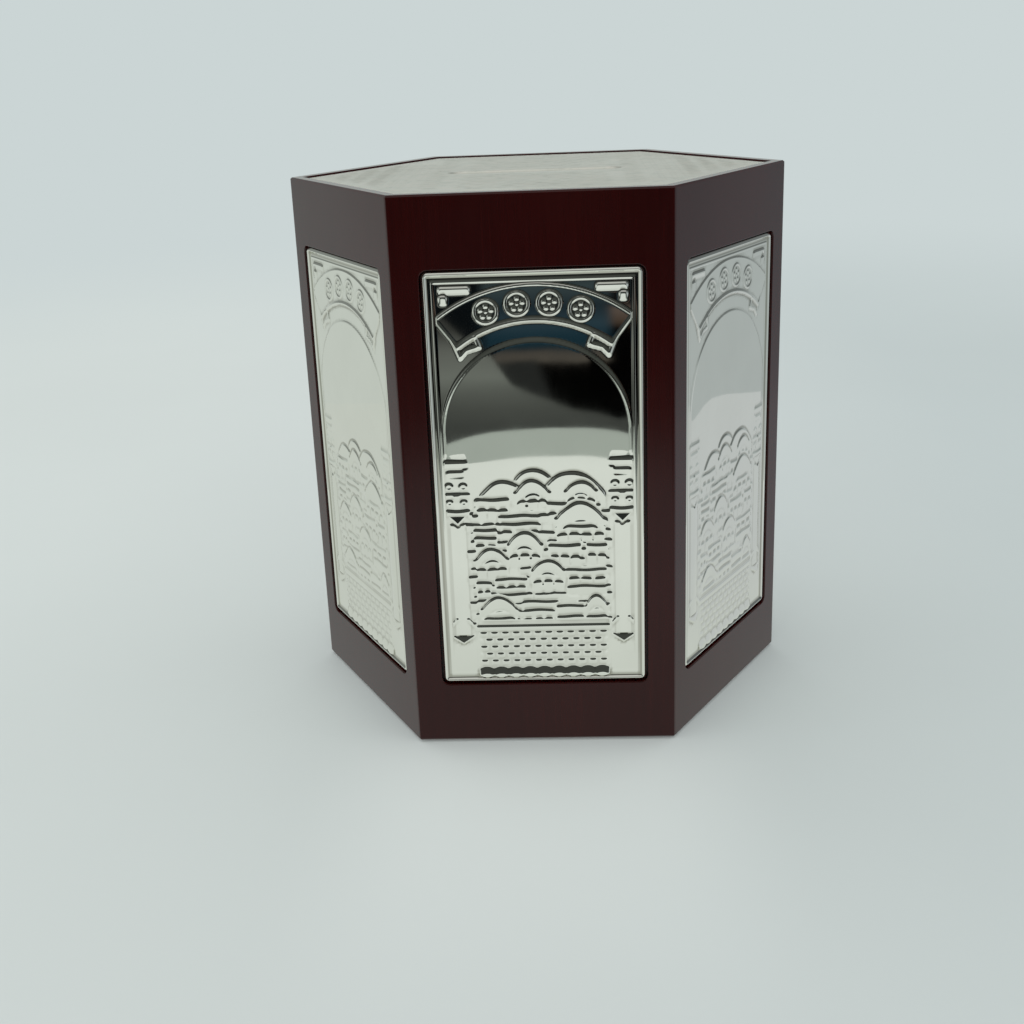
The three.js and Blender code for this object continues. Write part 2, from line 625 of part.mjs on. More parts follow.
// A cup of rubber, open below, with a flange round its mouth and a bar across it to grip.
function stopperGeometry() {
  const outer = HOLE_DIAMETER / 2 - CLEARANCE;
  const [foot, seat] = [FLANGE_Z, FLANGE_Z + FLANGE];
  const crown = seat + STOPPER_REACH;
  const rim = FLANGE_DIAMETER / 2;
  const bore = outer - STOPPER_WALL;
  const profile = [
    [0, crown - STOPPER_WALL],
    [bore - STOPPER_TAPER, crown - STOPPER_WALL],
    [bore, foot],
    [rim - EDGE_EASE, foot],
    [rim, foot + EDGE_EASE],
    [rim, seat - EDGE_EASE],
    [rim - EDGE_EASE, seat],
    [outer, seat],
    [outer - STOPPER_TAPER, crown - CROWN_EASE],
    [outer - STOPPER_TAPER - CROWN_EASE, crown],
    [0, crown],
  ].map(([x, y]) => new THREE.Vector2(x, y));
  const cup = new THREE.LatheGeometry(profile, ROUND_SEGMENTS).rotateX(Math.PI / 2);
  const barFoot = foot + GRIP_SETBACK;
  const barHeight = crown - STOPPER_WALL / 2 - barFoot;
  const bar = extrude(rectangle(0, 0, 2 * bore, GRIP_THICKNESS), barHeight, barFoot);
  return toGeometry(toSolid(cup).add(toSolid(bar)));
}

// Assembly

function piece(name, geometry, material) {
  const mesh = new THREE.Mesh(geometry, material);
  mesh.name = name;
  return mesh;
}

const SIDES = ["front", "front_right", "back_right", "back", "back_left", "front_left"];
const wall = wallGeometry();
const sidePlate = sidePlateGeometry();
const sideAdhesive = sideAdhesiveGeometry();

// One side of the case, built facing -Y and turned into its place round the axis.
function side(name, turn) {
  const group = new THREE.Group();
  const adhesive = piece(`plate_adhesive_${name}`, sideAdhesive, foam);
  const plate = piece(`silver_plate_${name}`, sidePlate, silver);
  const pocketFloor = APOTHEM - POCKET_DEPTH;
  for (const flat of [adhesive, plate]) flat.rotation.x = Math.PI / 2;
  adhesive.position.set(0, -(pocketFloor + GLUE_LINE), PLATE_Z);
  plate.position.set(0, -(pocketFloor + 2 * GLUE_LINE + ADHESIVE), PLATE_Z);
  group.add(piece(`wall_${name}`, wall, lacquer), adhesive, plate);
  group.rotation.z = turn * SIXTH;
  return group;
}

const box = new THREE.Group();
SIDES.forEach((name, turn) => box.add(side(name, turn)));
box.add(
  piece("top_board", topBoardGeometry(), fibreboard),
  piece("top_plate_adhesive", topAdhesiveGeometry(), foam),
  piece("silver_plate_top", topPlateGeometry(), silver),
  piece("base_board", baseBoardGeometry(), fibreboard),
  piece("base_felt", feltGeometry(), feltCloth),
  piece("stopper", stopperGeometry(), rubber),
);

export default box;
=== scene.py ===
"""Looks of a hexagonal wooden alms box with stamped silver-plated plates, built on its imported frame."""

import math
from contextlib import contextmanager
from functools import reduce

import bmesh
import bpy
import numpy as np
from bpy.props import FloatProperty, FloatVectorProperty, IntProperty, PointerProperty
from mathutils import Matrix, Vector


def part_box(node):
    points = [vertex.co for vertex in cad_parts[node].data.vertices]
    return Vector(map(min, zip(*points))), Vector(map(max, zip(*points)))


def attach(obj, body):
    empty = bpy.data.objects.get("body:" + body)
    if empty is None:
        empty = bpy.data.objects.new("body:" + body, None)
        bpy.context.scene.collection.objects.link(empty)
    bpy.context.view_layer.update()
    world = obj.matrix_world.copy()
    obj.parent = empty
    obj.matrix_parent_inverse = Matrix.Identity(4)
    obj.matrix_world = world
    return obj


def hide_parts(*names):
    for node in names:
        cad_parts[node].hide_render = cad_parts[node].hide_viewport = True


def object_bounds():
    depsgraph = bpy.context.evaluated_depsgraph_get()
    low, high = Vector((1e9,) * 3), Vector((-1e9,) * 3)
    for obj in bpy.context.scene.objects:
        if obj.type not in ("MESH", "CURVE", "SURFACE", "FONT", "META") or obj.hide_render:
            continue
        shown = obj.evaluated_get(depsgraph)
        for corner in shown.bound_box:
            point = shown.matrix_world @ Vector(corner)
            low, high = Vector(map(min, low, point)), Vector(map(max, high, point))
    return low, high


bl_info = {
    "name": "Hexagonal Alms Box",
    "version": (1, 0, 0),
    "blender": (4, 5, 0),
    "location": "View3D > Sidebar > Alms Box",
    "description": "Models the looks of a six-sided alms box with stamped silver-plated plates",
    "category": "Add Mesh",
}

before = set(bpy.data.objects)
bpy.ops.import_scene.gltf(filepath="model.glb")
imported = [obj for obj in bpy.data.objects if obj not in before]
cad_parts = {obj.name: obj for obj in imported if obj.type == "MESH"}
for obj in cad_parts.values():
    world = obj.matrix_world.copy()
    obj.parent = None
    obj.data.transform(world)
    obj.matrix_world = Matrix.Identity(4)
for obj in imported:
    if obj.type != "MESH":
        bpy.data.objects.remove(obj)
CAD_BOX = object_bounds()

SIDES = ("front", "front_right", "back_right", "back", "back_left", "front_left")
SIXTH = math.pi / 3
MM = 0.001
HAIR = 0.00005
PLATE_CORNER = 1.2
BORDER = 2.5
BEAD_BORDER = 1.0

CASE_LOW, CASE_HIGH = CAD_BOX
APOTHEM = -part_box("wall_front")[0].y
PLATE_LOW, PLATE_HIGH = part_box("silver_plate_front")
TOP_LOW, TOP_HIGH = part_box("silver_plate_top")
STOPPER_LOW, STOPPER_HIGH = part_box("stopper")
FELT_LOW, FELT_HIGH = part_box("base_felt")


# Sizes and colours that a user would change


def colour_setting(name, description, default):
    return FloatVectorProperty(
        name=name, description=description, default=default, subtype="COLOR", size=3, min=0, max=1
    )


def length_setting(name, description, default):
    return FloatProperty(
        name=name, description=description, default=default, subtype="DISTANCE", unit="LENGTH"
    )


def factor_setting(name, description, default):
    return FloatProperty(
        name=name, description=description, default=default, subtype="FACTOR", min=0, max=1
    )


class AlmsBoxCaseSettings(bpy.types.PropertyGroup):
    lacquer: colour_setting(
        "Lacquer colour",
        "Colour of the stained wood under its clear lacquer",
        (0.0235, 0.0013, 0.0011),
    )
    gloss: factor_setting(
        "Lacquer roughness", "Roughness of the lacquer, from mirror smooth to matt", 0.2
    )
    corner_round: length_setting(
        "Corner rounding", "Radius of the upright corners, sanded through the mitres", 0.001
    )
    edge_round: length_setting("Edge rounding", "Rounding of the sanded edges of a wall", 0.00018)


class AlmsBoxPlateSettings(bpy.types.PropertyGroup):
    silver: colour_setting(
        "Silver colour", "Colour of the polished silver plating", (0.935, 0.955, 0.868)
    )
    polish: factor_setting("Polish roughness", "Roughness of the polished plating", 0.022)
    spacing: length_setting(
        "Relief spacing", "Distance between the points that carry the stamped relief", 0.000213
    )
    bead_width: length_setting("Bead width", "Width of the rolled bead round a plate", 0.001)
    bead_rise: length_setting("Bead height", "Height of the rolled bead over the sheet", 0.0005)
    sheet: length_setting("Sheet thickness", "Thickness of the stamped sheet", 0.0005)


class AlmsBoxTopSettings(bpy.types.PropertyGroup):
    slot_length: length_setting("Slot length", "Length of the coin slot in the top plate", 0.038)
    slot_width: length_setting("Slot width", "Width of the coin slot in the top plate", 0.005)
    spacing: length_setting(
        "Relief spacing", "Distance between the points that carry the stamped relief", 0.00033
    )
    satin: factor_setting(
        "Satin", "Roughness of the top plate, which hands and coins have dulled", 0.36
    )


class AlmsBoxBaseSettings(bpy.types.PropertyGroup):
    board: colour_setting("Board colour", "Colour of the stained fibreboard", (0.045, 0.014, 0.009))
    felt: colour_setting("Felt colour", "Colour of the felt under the base", (0.036, 0.007, 0.011))
    felt_hole: length_setting(
        "Felt hole radius", "Radius of the hole in the felt round the stopper", 0.023
    )
    rubber: colour_setting("Rubber colour", "Colour of the stopper", (0.012, 0.012, 0.0125))
    segments: IntProperty(
        name="Round segments",
        description="Number of sides of the stopper's circles",
        min=24,
        max=256,
        default=96,
    )


class AlmsBoxStageSettings(bpy.types.PropertyGroup):
    floor: colour_setting("Floor colour", "Colour of the plain pale floor", (0.575, 0.628, 0.615))
    backdrop: colour_setting(
        "Backdrop colour", "Colour that the camera sees beyond the floor", (0.597, 0.665, 0.665)
    )
    table_reach: length_setting(
        "Table reach", "How far the white table under the box reaches in its reflections", 0.309
    )
    table_edge: length_setting(
        "Table edge", "Width of the shaded band along the table's edge in the reflections", 0.040
    )
    lens: FloatProperty(
        name="Lens", description="Focal length of the camera in millimetres", default=47.59
    )


# Helpers


def settings(name):
    return getattr(bpy.context.scene, f"alms_box_{name}")


def deselect():
    bpy.ops.object.select_all(action="DESELECT")


def activate(piece):
    deselect()
    piece.select_set(True)
    bpy.context.view_layer.objects.active = piece


@contextmanager
def editing(piece, action="SELECT"):
    """Edit mode on one piece, with its mesh selected, deselected, or left alone for no action."""
    activate(piece)
    bpy.ops.object.mode_set(mode="EDIT")
    if action:
        bpy.ops.mesh.select_all(action=action)
    yield
    bpy.ops.object.mode_set(mode="OBJECT")


def apply_modifier(piece, kind, **values):
    modifier = piece.modifiers.new(kind.lower(), kind)
    for key, value in values.items():
        setattr(modifier, key, value)
    activate(piece)
    bpy.ops.object.modifier_apply(modifier=modifier.name)


def smooth(piece, degrees):
    """Smooths the shading over all edges that are blunter than an angle."""
    activate(piece)
    bpy.ops.object.shade_smooth_by_angle(angle=math.radians(degrees))


def add_circle(vertices, radius, height, fill="NGON"):
    deselect()
    bpy.ops.mesh.primitive_circle_add(
        vertices=vertices, radius=radius, fill_type=fill, location=(0, 0, height)
    )
    bpy.ops.object.transform_apply(location=True, rotation=False, scale=False)
    return bpy.context.object


def finish_piece(piece, name, material, body, nodes):
    """Names a piece, gives it its material, and lets it stand for its nodes in the frame."""
    piece.name = name
    piece.data.name = name
    piece.data.materials.clear()
    piece.data.materials.append(material)
    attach(piece, body)
    if nodes:
        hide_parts(*nodes)
    return piece


def points_of(piece):
    found = np.empty(len(piece.data.vertices) * 3)
    piece.data.vertices.foreach_get("co", found)
    return found.reshape(-1, 3)


def set_points(piece, points):
    piece.data.vertices.foreach_set("co", np.ascontiguousarray(points).ravel())
    piece.data.update()


def side_turn(index):
    return Matrix.Rotation(index * SIXTH, 4, "Z")


@contextmanager
def facing_front(wall, index):
    """Turns a wall to the front for the work on it, and then back to its own side."""
    wall.data.transform(side_turn(-index))
    yield
    wall.data.transform(side_turn(index))


# Materials


def with_alpha(tone):
    """A colour or a grey as the four numbers of a colour socket."""
    return (*tone, 1) if isinstance(tone, tuple) else (tone, tone, tone, 1)


def shade_of(colour, factor):
    return tuple(min(1.0, c * factor) for c in colour)


class NodeBoard:
    """The nodes of a material or a world, and short words for adding and joining them."""

    def __init__(self, tree):
        self.tree = tree

    def put(self, socket, value):
        """Joins the output of another node to a socket, or sets its value."""
        if isinstance(value, bpy.types.NodeSocket):
            self.tree.links.new(value, socket)
        else:
            socket.default_value = value

    def add(self, kind, **values):
        """Adds a node with values, each for a property of the node or else for an input."""
        node = self.tree.nodes.new(kind)
        for key, value in values.items():
            if hasattr(node, key):
                setattr(node, key, value)
            else:
                self.put(node.inputs[key.replace("_", " ")], value)
        return node

    def axes(self, vector):
        return self.add("ShaderNodeSeparateXYZ", Vector=vector).outputs

    def noise(self, vector, scale, detail=4, roughness=0.5, distortion=0.0):
        node = self.add("ShaderNodeTexNoise", Vector=vector, Scale=scale, Detail=detail)
        self.put(node.inputs["Roughness"], roughness)
        self.put(node.inputs["Distortion"], distortion)
        return node.outputs["Fac"]

    def ramp(self, factor, *stops):
        """Colours or greys at places from nought to one."""
        node = self.add("ShaderNodeValToRGB", Fac=factor)
        band = node.color_ramp
        while len(band.elements) < len(stops):
            band.elements.new(0.5)
        for element, (place, tone) in zip(band.elements, stops):
            element.position = place
            element.color = with_alpha(tone)
        return node.outputs["Color"]

    def shades(self, factor, colour, *stops):
        """One colour, darker or lighter by a share at each place from nought to one."""
        return self.ramp(factor, *((place, shade_of(colour, by)) for place, by in stops))

    def span(self, value, low, high, to_low=0.0, to_high=1.0, kind="LINEAR"):
        node = self.add("ShaderNodeMapRange", interpolation_type=kind, Value=value)
        limits = {"From Min": low, "From Max": high, "To Min": to_low, "To Max": to_high}
        for key, limit in limits.items():
            node.inputs[key].default_value = limit
        return node.outputs["Result"]

    def step(self, value, low, high):
        """A soft step from nought at one value to one at the other."""
        ends = (0.0, 1.0) if low < high else (1.0, 0.0)
        return self.span(value, *sorted((low, high)), *ends, "SMOOTHSTEP")

    def mix(self, factor, first, second, blend="MIX"):
        node = self.add("ShaderNodeMix", data_type="RGBA", blend_type=blend)
        for key, value in (("Factor", factor), ("A", first), ("B", second)):
            if key != "Factor" and not isinstance(value, bpy.types.NodeSocket):
                value = with_alpha(value)
            self.put(next(s for s in node.inputs if s.name == key and s.enabled), value)
        return next(s for s in node.outputs if s.enabled)

    def times(self, first, second):
        return self.mix(1.0, first, second, "MULTIPLY")

    def maths(self, operation, *values):
        node = self.add("ShaderNodeMath", operation=operation)
        for socket, value in zip(node.inputs, values):
            self.put(socket, value)
        return node.outputs[0]

    def product(self, *values):
        return reduce(lambda first, second: self.maths("MULTIPLY", first, second), values)

    def bump(self, height, strength, distance, normal=None):
        node = self.add("ShaderNodeBump", Height=height, Strength=strength, Distance=distance)
        if normal is not None:
            self.put(node.inputs["Normal"], normal)
        return node.outputs["Normal"]


class Paint(NodeBoard):
    """A new material that reads places on the object."""

    def __init__(self, name):
        self.material = bpy.data.materials.new(name)
        self.material.use_nodes = True
        super().__init__(self.material.node_tree)
        self.shader = self.tree.nodes["Principled BSDF"]
        self.place = self.add("ShaderNodeTexCoord").outputs["Object"]

    def stretched(self, scale, turn=(0, 0, 0)):
        node = self.add("ShaderNodeMapping", Vector=self.place, Scale=scale, Rotation=turn)
        return node.outputs["Vector"]

    def recess(self):
        return self.add("ShaderNodeAttribute", attribute_name="recess").outputs["Fac"]

    def surface(self, **inputs):
        """Sets or joins inputs of the shader and hands over the material."""
        for name, value in inputs.items():
            self.put(self.shader.inputs[name.replace("_", " ")], value)
        return self.material


def lacquered_mahogany():
    """Dark stained wood under satin lacquer, with a faint upright figure and orange peel."""
    case = settings("case")
    wood = Paint("Lacquered mahogany")
    fibres = wood.noise(wood.stretched((1, 1, 0.05)), 900, 5, 0.6, 0.4)
    cloud = wood.noise(wood.stretched((1, 1, 0.35)), 38, 3)
    smear = wood.noise(wood.place, 60, 4, 0.6)
    figure = wood.shades(fibres, tuple(case.lacquer), (0.3, 0.86), (0.55, 1), (0.8, 1.22))
    stain = wood.ramp(cloud, (0.3, (0.88, 0.87, 0.87)), (0.7, (1.12, 1.1, 1.08)))
    rough = wood.span(smear, 0.3, 0.7, case.gloss * 0.88, case.gloss * 1.15)
    rim = wood.step(wood.axes(wood.place)[2], CASE_HIGH.z - 0.0006, CASE_HIGH.z - 0.0002)
    peel = wood.bump(wood.noise(wood.place, 700, 2, 0.4), 0.05, 0.00006)
    return wood.surface(
        Base_Color=wood.times(figure, stain),
        Roughness=wood.mix(rim, rough, 0.08),
        Normal=wood.bump(fibres, 0.03, 0.00003, peel),
        IOR=1.38,
    )


def stained_fibreboard():
    """Fine matt fibreboard with flecks, stained dark."""
    board = Paint("Stained fibreboard")
    flecks = board.noise(board.place, 1400, 6, 0.7)
    patches = board.noise(board.place, 70, 3)
    tone = board.shades(flecks, tuple(settings("base").board), (0.35, 0.6), (0.5, 1), (0.68, 1.9))
    stain = board.ramp(patches, (0.3, 0.8), (0.7, (1.15, 1.12, 1.1)))
    return board.surface(
        Base_Color=board.times(tone, stain),
        Roughness=board.span(flecks, 0.3, 0.7, 0.5, 0.75),
        Normal=board.bump(flecks, 0.25, 0.00008),
    )


def polished_silver():
    """Mirror-bright plating with fine wiping marks, darker in its recesses: tarnished there, with painted
    shade beside the stamped forms.
    """
    plates = settings("plates")
    plate = Paint("Polished silver plate")
    clouds = plate.noise(plate.place, 110, 4, 0.6)
    wiping = plate.noise(plate.stretched((1, 1, 0.08), (0.2, 0.5, 0.1)), 2600, 3, 0.6)
    bright = plate.shades(clouds, tuple(plates.silver), (0.3, 0.965), (0.7, 1))
    # Darker in the recesses: partly tarnished silver, partly painted shade beside the stamped forms.
    tarnish_and_shade = plate.ramp(plate.recess(), (0.0, 1), (1.0, (0.50, 0.49, 0.46)))
    haze = plate.span(clouds, 0.3, 0.7, plates.polish * 0.8, plates.polish * 1.5)
    waves = plate.bump(plate.noise(plate.place, 95, 2, 0.3), 0.10, 0.00006)
    return plate.surface(
        Base_Color=plate.times(bright, tarnish_and_shade),
        Metallic=1.0,
        Roughness=plate.maths("MULTIPLY_ADD", wiping, plates.polish * 0.5, haze),
        Normal=plate.bump(wiping, 0.02, 0.00001, waves),
    )


def satin_silver():
    """Plating of the top plate, dulled by hands and coins over a mottled stamped ground."""
    plate = Paint("Satin silver top plate")
    satin = settings("top").satin
    mottle = plate.noise(plate.place, 330, 4, 0.65, 0.3)
    clouds = plate.noise(plate.place, 55, 3)
    scratches = plate.noise(plate.stretched((1, 0.12, 1), (0, 0, 0.5)), 1800, 3, 0.6)
    tint = plate.ramp(
        mottle,
        (0.34, (0.87, 0.88, 0.865)),
        (0.44, (0.94, 0.95, 0.94)),
        (0.54, (0.98, 0.98, 0.97)),
        (0.66, (1.0, 0.98, 0.975)),
    )
    # Darker in the hollows of the stamping: partly tarnished silver, partly painted shade.
    tarnish_and_shade = plate.ramp(plate.recess(), (0.0, 1), (1.0, (0.82, 0.81, 0.79)))
    return plate.surface(
        Base_Color=plate.times(plate.times(tint, tarnish_and_shade), tuple(settings("plates").silver)),
        Metallic=0.85,
        Roughness=plate.span(clouds, 0.3, 0.7, satin * 0.8, satin * 1.2),
        Normal=plate.bump(scratches, 0.05, 0.00002, plate.bump(mottle, 0.55, 0.00018)),
    )


def foam_sheet():
    """Pale closed-cell foam of the adhesive sheets."""
    foam = Paint("Foam adhesive")
    cells = foam.add("ShaderNodeTexVoronoi", Vector=foam.place, Scale=2600).outputs["Distance"]
    return foam.surface(
        Base_Color=foam.ramp(cells, (0.0, (0.5, 0.49, 0.45)), (0.6, (0.72, 0.71, 0.66))),
        Roughness=foam.span(cells, 0, 1, 0.8, 0.95),
        Normal=foam.bump(cells, 0.4, 0.0001),
    )


def wool_felt():
    """Dark felt: matted fibres with a soft sheen."""
    felt = Paint("Wool felt")
    fibres = felt.noise(felt.place, 1500, 6, 0.7, 1.2)
    mats = felt.noise(felt.place, 260, 5, 0.75, 0.8)
    tone = felt.shades(fibres, tuple(settings("base").felt), (0.36, 0.3), (0.5, 1), (0.64, 3.2))
    return felt.surface(
        Base_Color=felt.times(tone, felt.ramp(mats, (0.3, 0.6), (0.7, 1.5))),
        Roughness=felt.span(fibres, 0.3, 0.7, 0.85, 1.0),
        Normal=felt.bump(fibres, 0.9, 0.0004),
        Specular_IOR_Level=0.15,
        Sheen_Weight=0.08,
        Sheen_Roughness=0.6,
    )


def moulded_rubber():
    """Soft black rubber with a dull bloom."""
    rubber = Paint("Moulded rubber")
    bloom = rubber.noise(rubber.place, 160, 5, 0.65)
    pores = rubber.noise(rubber.place, 2400, 3, 0.6)
    return rubber.surface(
        Base_Color=rubber.shades(bloom, tuple(settings("base").rubber), (0.35, 1), (0.75, 2.4)),
        Roughness=rubber.span(bloom, 0.3, 0.7, 0.42, 0.68),
        Normal=rubber.bump(pores, 0.15, 0.00005),
    )


# Stamping: heights in millimetres over the back of a sheet, pressed form by form

SHEET = 0.5
CAPITAL_DOWN = 39.8
COLUMN_IN = 4.8

# Shares of the town's half width and of its height. Hills: place, crest, width and rise.
# Houses: place, foot, width, height and rise of the dome, then the number of the tier.
HILLS = (
    (-0.08, 0.95, 0.62, 0.035),
    (0.48, 0.93, 0.98, 0.085),
    (-0.52, 0.885, 0.74, 0.05),
)
HOUSES = (
    (-0.1, 0.72, 0.56, 0.1, 0.055, 1),
    (0.62, 0.73, 0.5, 0.09, 0.045, 1),
    (-0.7, 0.66, 0.5, 0.12, 0.0, 1),
    (0.26, 0.63, 0.3, 0.12, 0.0, 1),
    (0.6, 0.52, 0.78, 0.14, 0.075, 2),
    (-0.3, 0.54, 0.62, 0.14, 0.0, 2),
    (-0.82, 0.46, 0.36, 0.14, 0.0, 2),
    (-0.24, 0.38, 0.54, 0.13, 0.06, 3),
    (0.36, 0.37, 0.5, 0.13, 0.0, 3),
    (0.84, 0.38, 0.32, 0.12, 0.0, 3),
    (-0.74, 0.3, 0.5, 0.13, 0.045, 3),
    (0.1, 0.22, 0.52, 0.13, 0.05, 4),
    (0.68, 0.2, 0.62, 0.15, 0.0, 4),
    (-0.46, 0.16, 0.5, 0.14, 0.0, 4),
    (-0.88, 0.12, 0.24, 0.16, 0.0, 4),
    (-0.66, 0.0, 0.58, 0.12, 0.055, 5),
    (-0.06, 0.0, 0.5, 0.16, 0.0, 5),
    (0.42, 0.0, 0.44, 0.13, 0.0, 5),
    (0.82, 0.0, 0.36, 0.13, 0.05, 5),
)


def eased(t):
    t = np.clip(t, 0, 1)
    return t * t * (3 - 2 * t)


class Die:
    """A sheet that is stamped in place. Distances to a shape are negative inside it."""

    def __init__(self, x, y, relief):
        self.x, self.y, self.relief = x, y, relief

    def over(self, x=None, y=None):
        """The same sheet with its places counted otherwise, as when it is folded in two."""
        return Die(self.x if x is None else x, self.y if y is None else y, self.relief)

    def box(self, width, height, radius=0.0, cx=0.0, cy=0.0):
        qx = np.abs(self.x - cx) - width / 2 + radius
        qy = np.abs(self.y - cy) - height / 2 + radius
        outside = np.hypot(np.maximum(qx, 0), np.maximum(qy, 0))
        return outside + np.minimum(np.maximum(qx, qy), 0) - radius

    def disc(self, cx, cy, radius):
        return np.hypot(self.x - cx, self.y - cy) - radius

    def line(self, start, end):
        """Plain distance to a straight line between two points."""
        (x0, y0), (x1, y1) = start, end
        dx, dy = x1 - x0, y1 - y0
        along = np.clip(((self.x - x0) * dx + (self.y - y0) * dy) / (dx * dx + dy * dy), 0, 1)
        return np.hypot(self.x - x0 - along * dx, self.y - y0 - along * dy)

    def polygon(self, *corners):
        inside = np.zeros(self.x.shape, bool)
        lines = []
        for start, end in zip(corners, corners[1:] + corners[:1]):
            lines.append(self.line(start, end))
            (x0, y0), (x1, y1) = start, end
            crosses = (y0 > self.y) != (y1 > self.y)
            inside ^= crosses & (self.x < (x1 - x0) * (self.y - y0) / (y1 - y0 or 1) + x0)
        nearest = np.minimum.reduce(lines)
        return np.where(inside, -nearest, nearest)

    def lay(self, distance, level, edge=0.5):
        """Brings the sheet to a level inside a shape, whatever was stamped there before."""
        self.relief += (level - self.relief) * eased(0.5 - distance / edge)

    def ridge(self, distance, width, rise):
        """A rounded line along the places where a distance is nought."""
        t = np.clip(np.abs(distance) / (width / 2), 0, 1)
        self.relief += rise * np.cos(t * math.pi / 2) ** 2

    def swell(self, distance, rise, slope):
        """Raises the sheet inside a shape, over a slope along its edge."""
        self.relief += rise * eased(-distance / slope)

    def shingle(self, cx, top, wide, tall, rise, arch=0.0, edge=0.85):
        """A block with a proud upper rim that falls away below; the rim is straight or arched."""
        raised = self.over(y=self.y + arch * ((self.x - cx) / (wide / 2)) ** 2)
        depth = np.clip((top - raised.y) / tall, 0, 1)
        self.lay(raised.box(wide - 0.4, 0.9, 0.4, cx, top + 0.35), SHEET, 0.6)
        shape = raised.box(wide, tall, 0.5, cx, top - tall / 2)
        self.lay(shape, SHEET + rise * (1 - 0.92 * depth), edge)

    def wedge(self, top, wide, tall, slope):
        """A keel-shaped foot that swells out towards its lower point."""
        away = np.abs(self.x)
        low = top - tall * np.clip(1 - away / (wide / 2), 0, 1) - 0.3
        shape = np.clip(top - self.y, 0, top - low) * slope * eased((self.y - low + 0.5) / 0.5)
        here = (self.y < top) & (self.y > low - 0.6) & (away < wide / 2)
        self.relief[here] = SHEET + shape[here]

    def rosette(self, cx, cy, size, petals, rise):
        """A flower drawn in lines: a ring, a boss and round petals between them."""
        self.ridge(self.disc(cx, cy, size), 0.8, rise)
        for petal in range(petals):
            turn = petal * 2 * math.pi / petals
            px, py = cx + size * 0.5 * math.sin(turn), cy + size * 0.5 * math.cos(turn)
            self.swell(self.disc(px, py, size * 0.3), rise, 0.6)
        self.swell(self.disc(cx, cy, size * 0.22), rise, 0.5)


def press_frame(die, width, height, radius, bead_width, bead_rise):
    """The rolled bead, and the inner line that fades towards the foot."""
    edge = -die.box(width, height, radius)
    crest = 0.58 * bead_width
    climb = 0.18 + 0.74 * np.clip(edge / crest, 0, 1)
    fall = 0.92 * (1 - np.clip((edge - crest) / (0.5 * bead_width), 0, 1))
    die.relief += bead_rise * np.minimum(climb, fall)
    inner = -die.box(width, height)
    die.ridge(inner - 2.1, 0.8, 0.02 + 0.11 * eased((die.y + height / 2 - 3) / 6))
    return inner


def press_arch(die, width, top):
    """A rounded moulding along the arch and its two legs, round a plain sky that swells a little."""
    x, y = die.x, die.y
    radius = width / 2 - 2.4 - 0.35
    spring = top - 13.8 - 0.35 - radius
    foot = top - CAPITAL_DOWN
    above = np.where(y > spring, np.hypot(x, y - spring) - radius, np.abs(x) - radius)
    line = np.where(y > foot, above, np.hypot(np.abs(x) - radius, y - foot))
    flattened = 0.075 * eased((y - spring - 0.75 * radius) / (0.25 * radius))
    die.ridge(line, 0.8, 0.11 - flattened)
    swell = 0.2 * np.clip(1 - (x / radius) ** 4, 0, 1) * eased((y - foot + 9) / 9)
    die.relief += np.where(y < foot, swell, swell * eased(0.5 - line / 0.9))


def press_corners(die, width, top):
    """Bracket-shaped blocks in the two upper corners."""
    folded = die.over(np.abs(die.x))
    right, high = width / 2 - 3.3, top - 3.2
    folded.shingle(right - 3.1, high, 6.2, 1.5, 0.36, edge=0.5)
    folded.shingle(right - 0.8, high - 1.7, 1.6, 2.0, 0.3, edge=0.5)


def press_banner(die, width, top):
    """A ribbon across the arch with folded, notched ends and four rosettes on it."""
    outer, depth = 33.0, 7.4
    centre = top - 2.9 - outer
    half_angle = math.asin((width / 2 - 2.2) / outer)
    inner = outer - depth
    end_x, end_y = inner * math.sin(half_angle), centre + inner * math.cos(half_angle)
    tail = die.over(np.abs(die.x)).polygon(
        (end_x + 1.4, end_y + 2.6),
        (end_x - 0.4, end_y - 2.0),
        (end_x - 1.7, end_y - 0.6),
        (end_x - 4.4, end_y + 0.2),
        (end_x - 3.4, end_y + 2.6),
    )
    die.lay(tail, SHEET + 0.08, 0.6)
    die.ridge(tail, 1.2, 0.22)
    reach, turn = np.hypot(die.x, die.y - centre), np.abs(np.arctan2(die.x, die.y - centre))
    band = np.maximum(np.maximum(reach - outer, inner - reach), (turn - half_angle) * reach)
    die.lay(band, SHEET + 0.14, 0.6)
    die.ridge(band, 0.8, 0.13)
    die.ridge(np.where(turn * inner < end_x + 1, reach - inner - 0.2, 9), 1.5, 0.2)
    middle = outer - depth / 2
    for boss in range(4):
        turn = (boss - 1.5) * 6.5 / middle
        die.rosette(middle * math.sin(turn), centre + middle * math.cos(turn), 2.3, 5, 0.18)


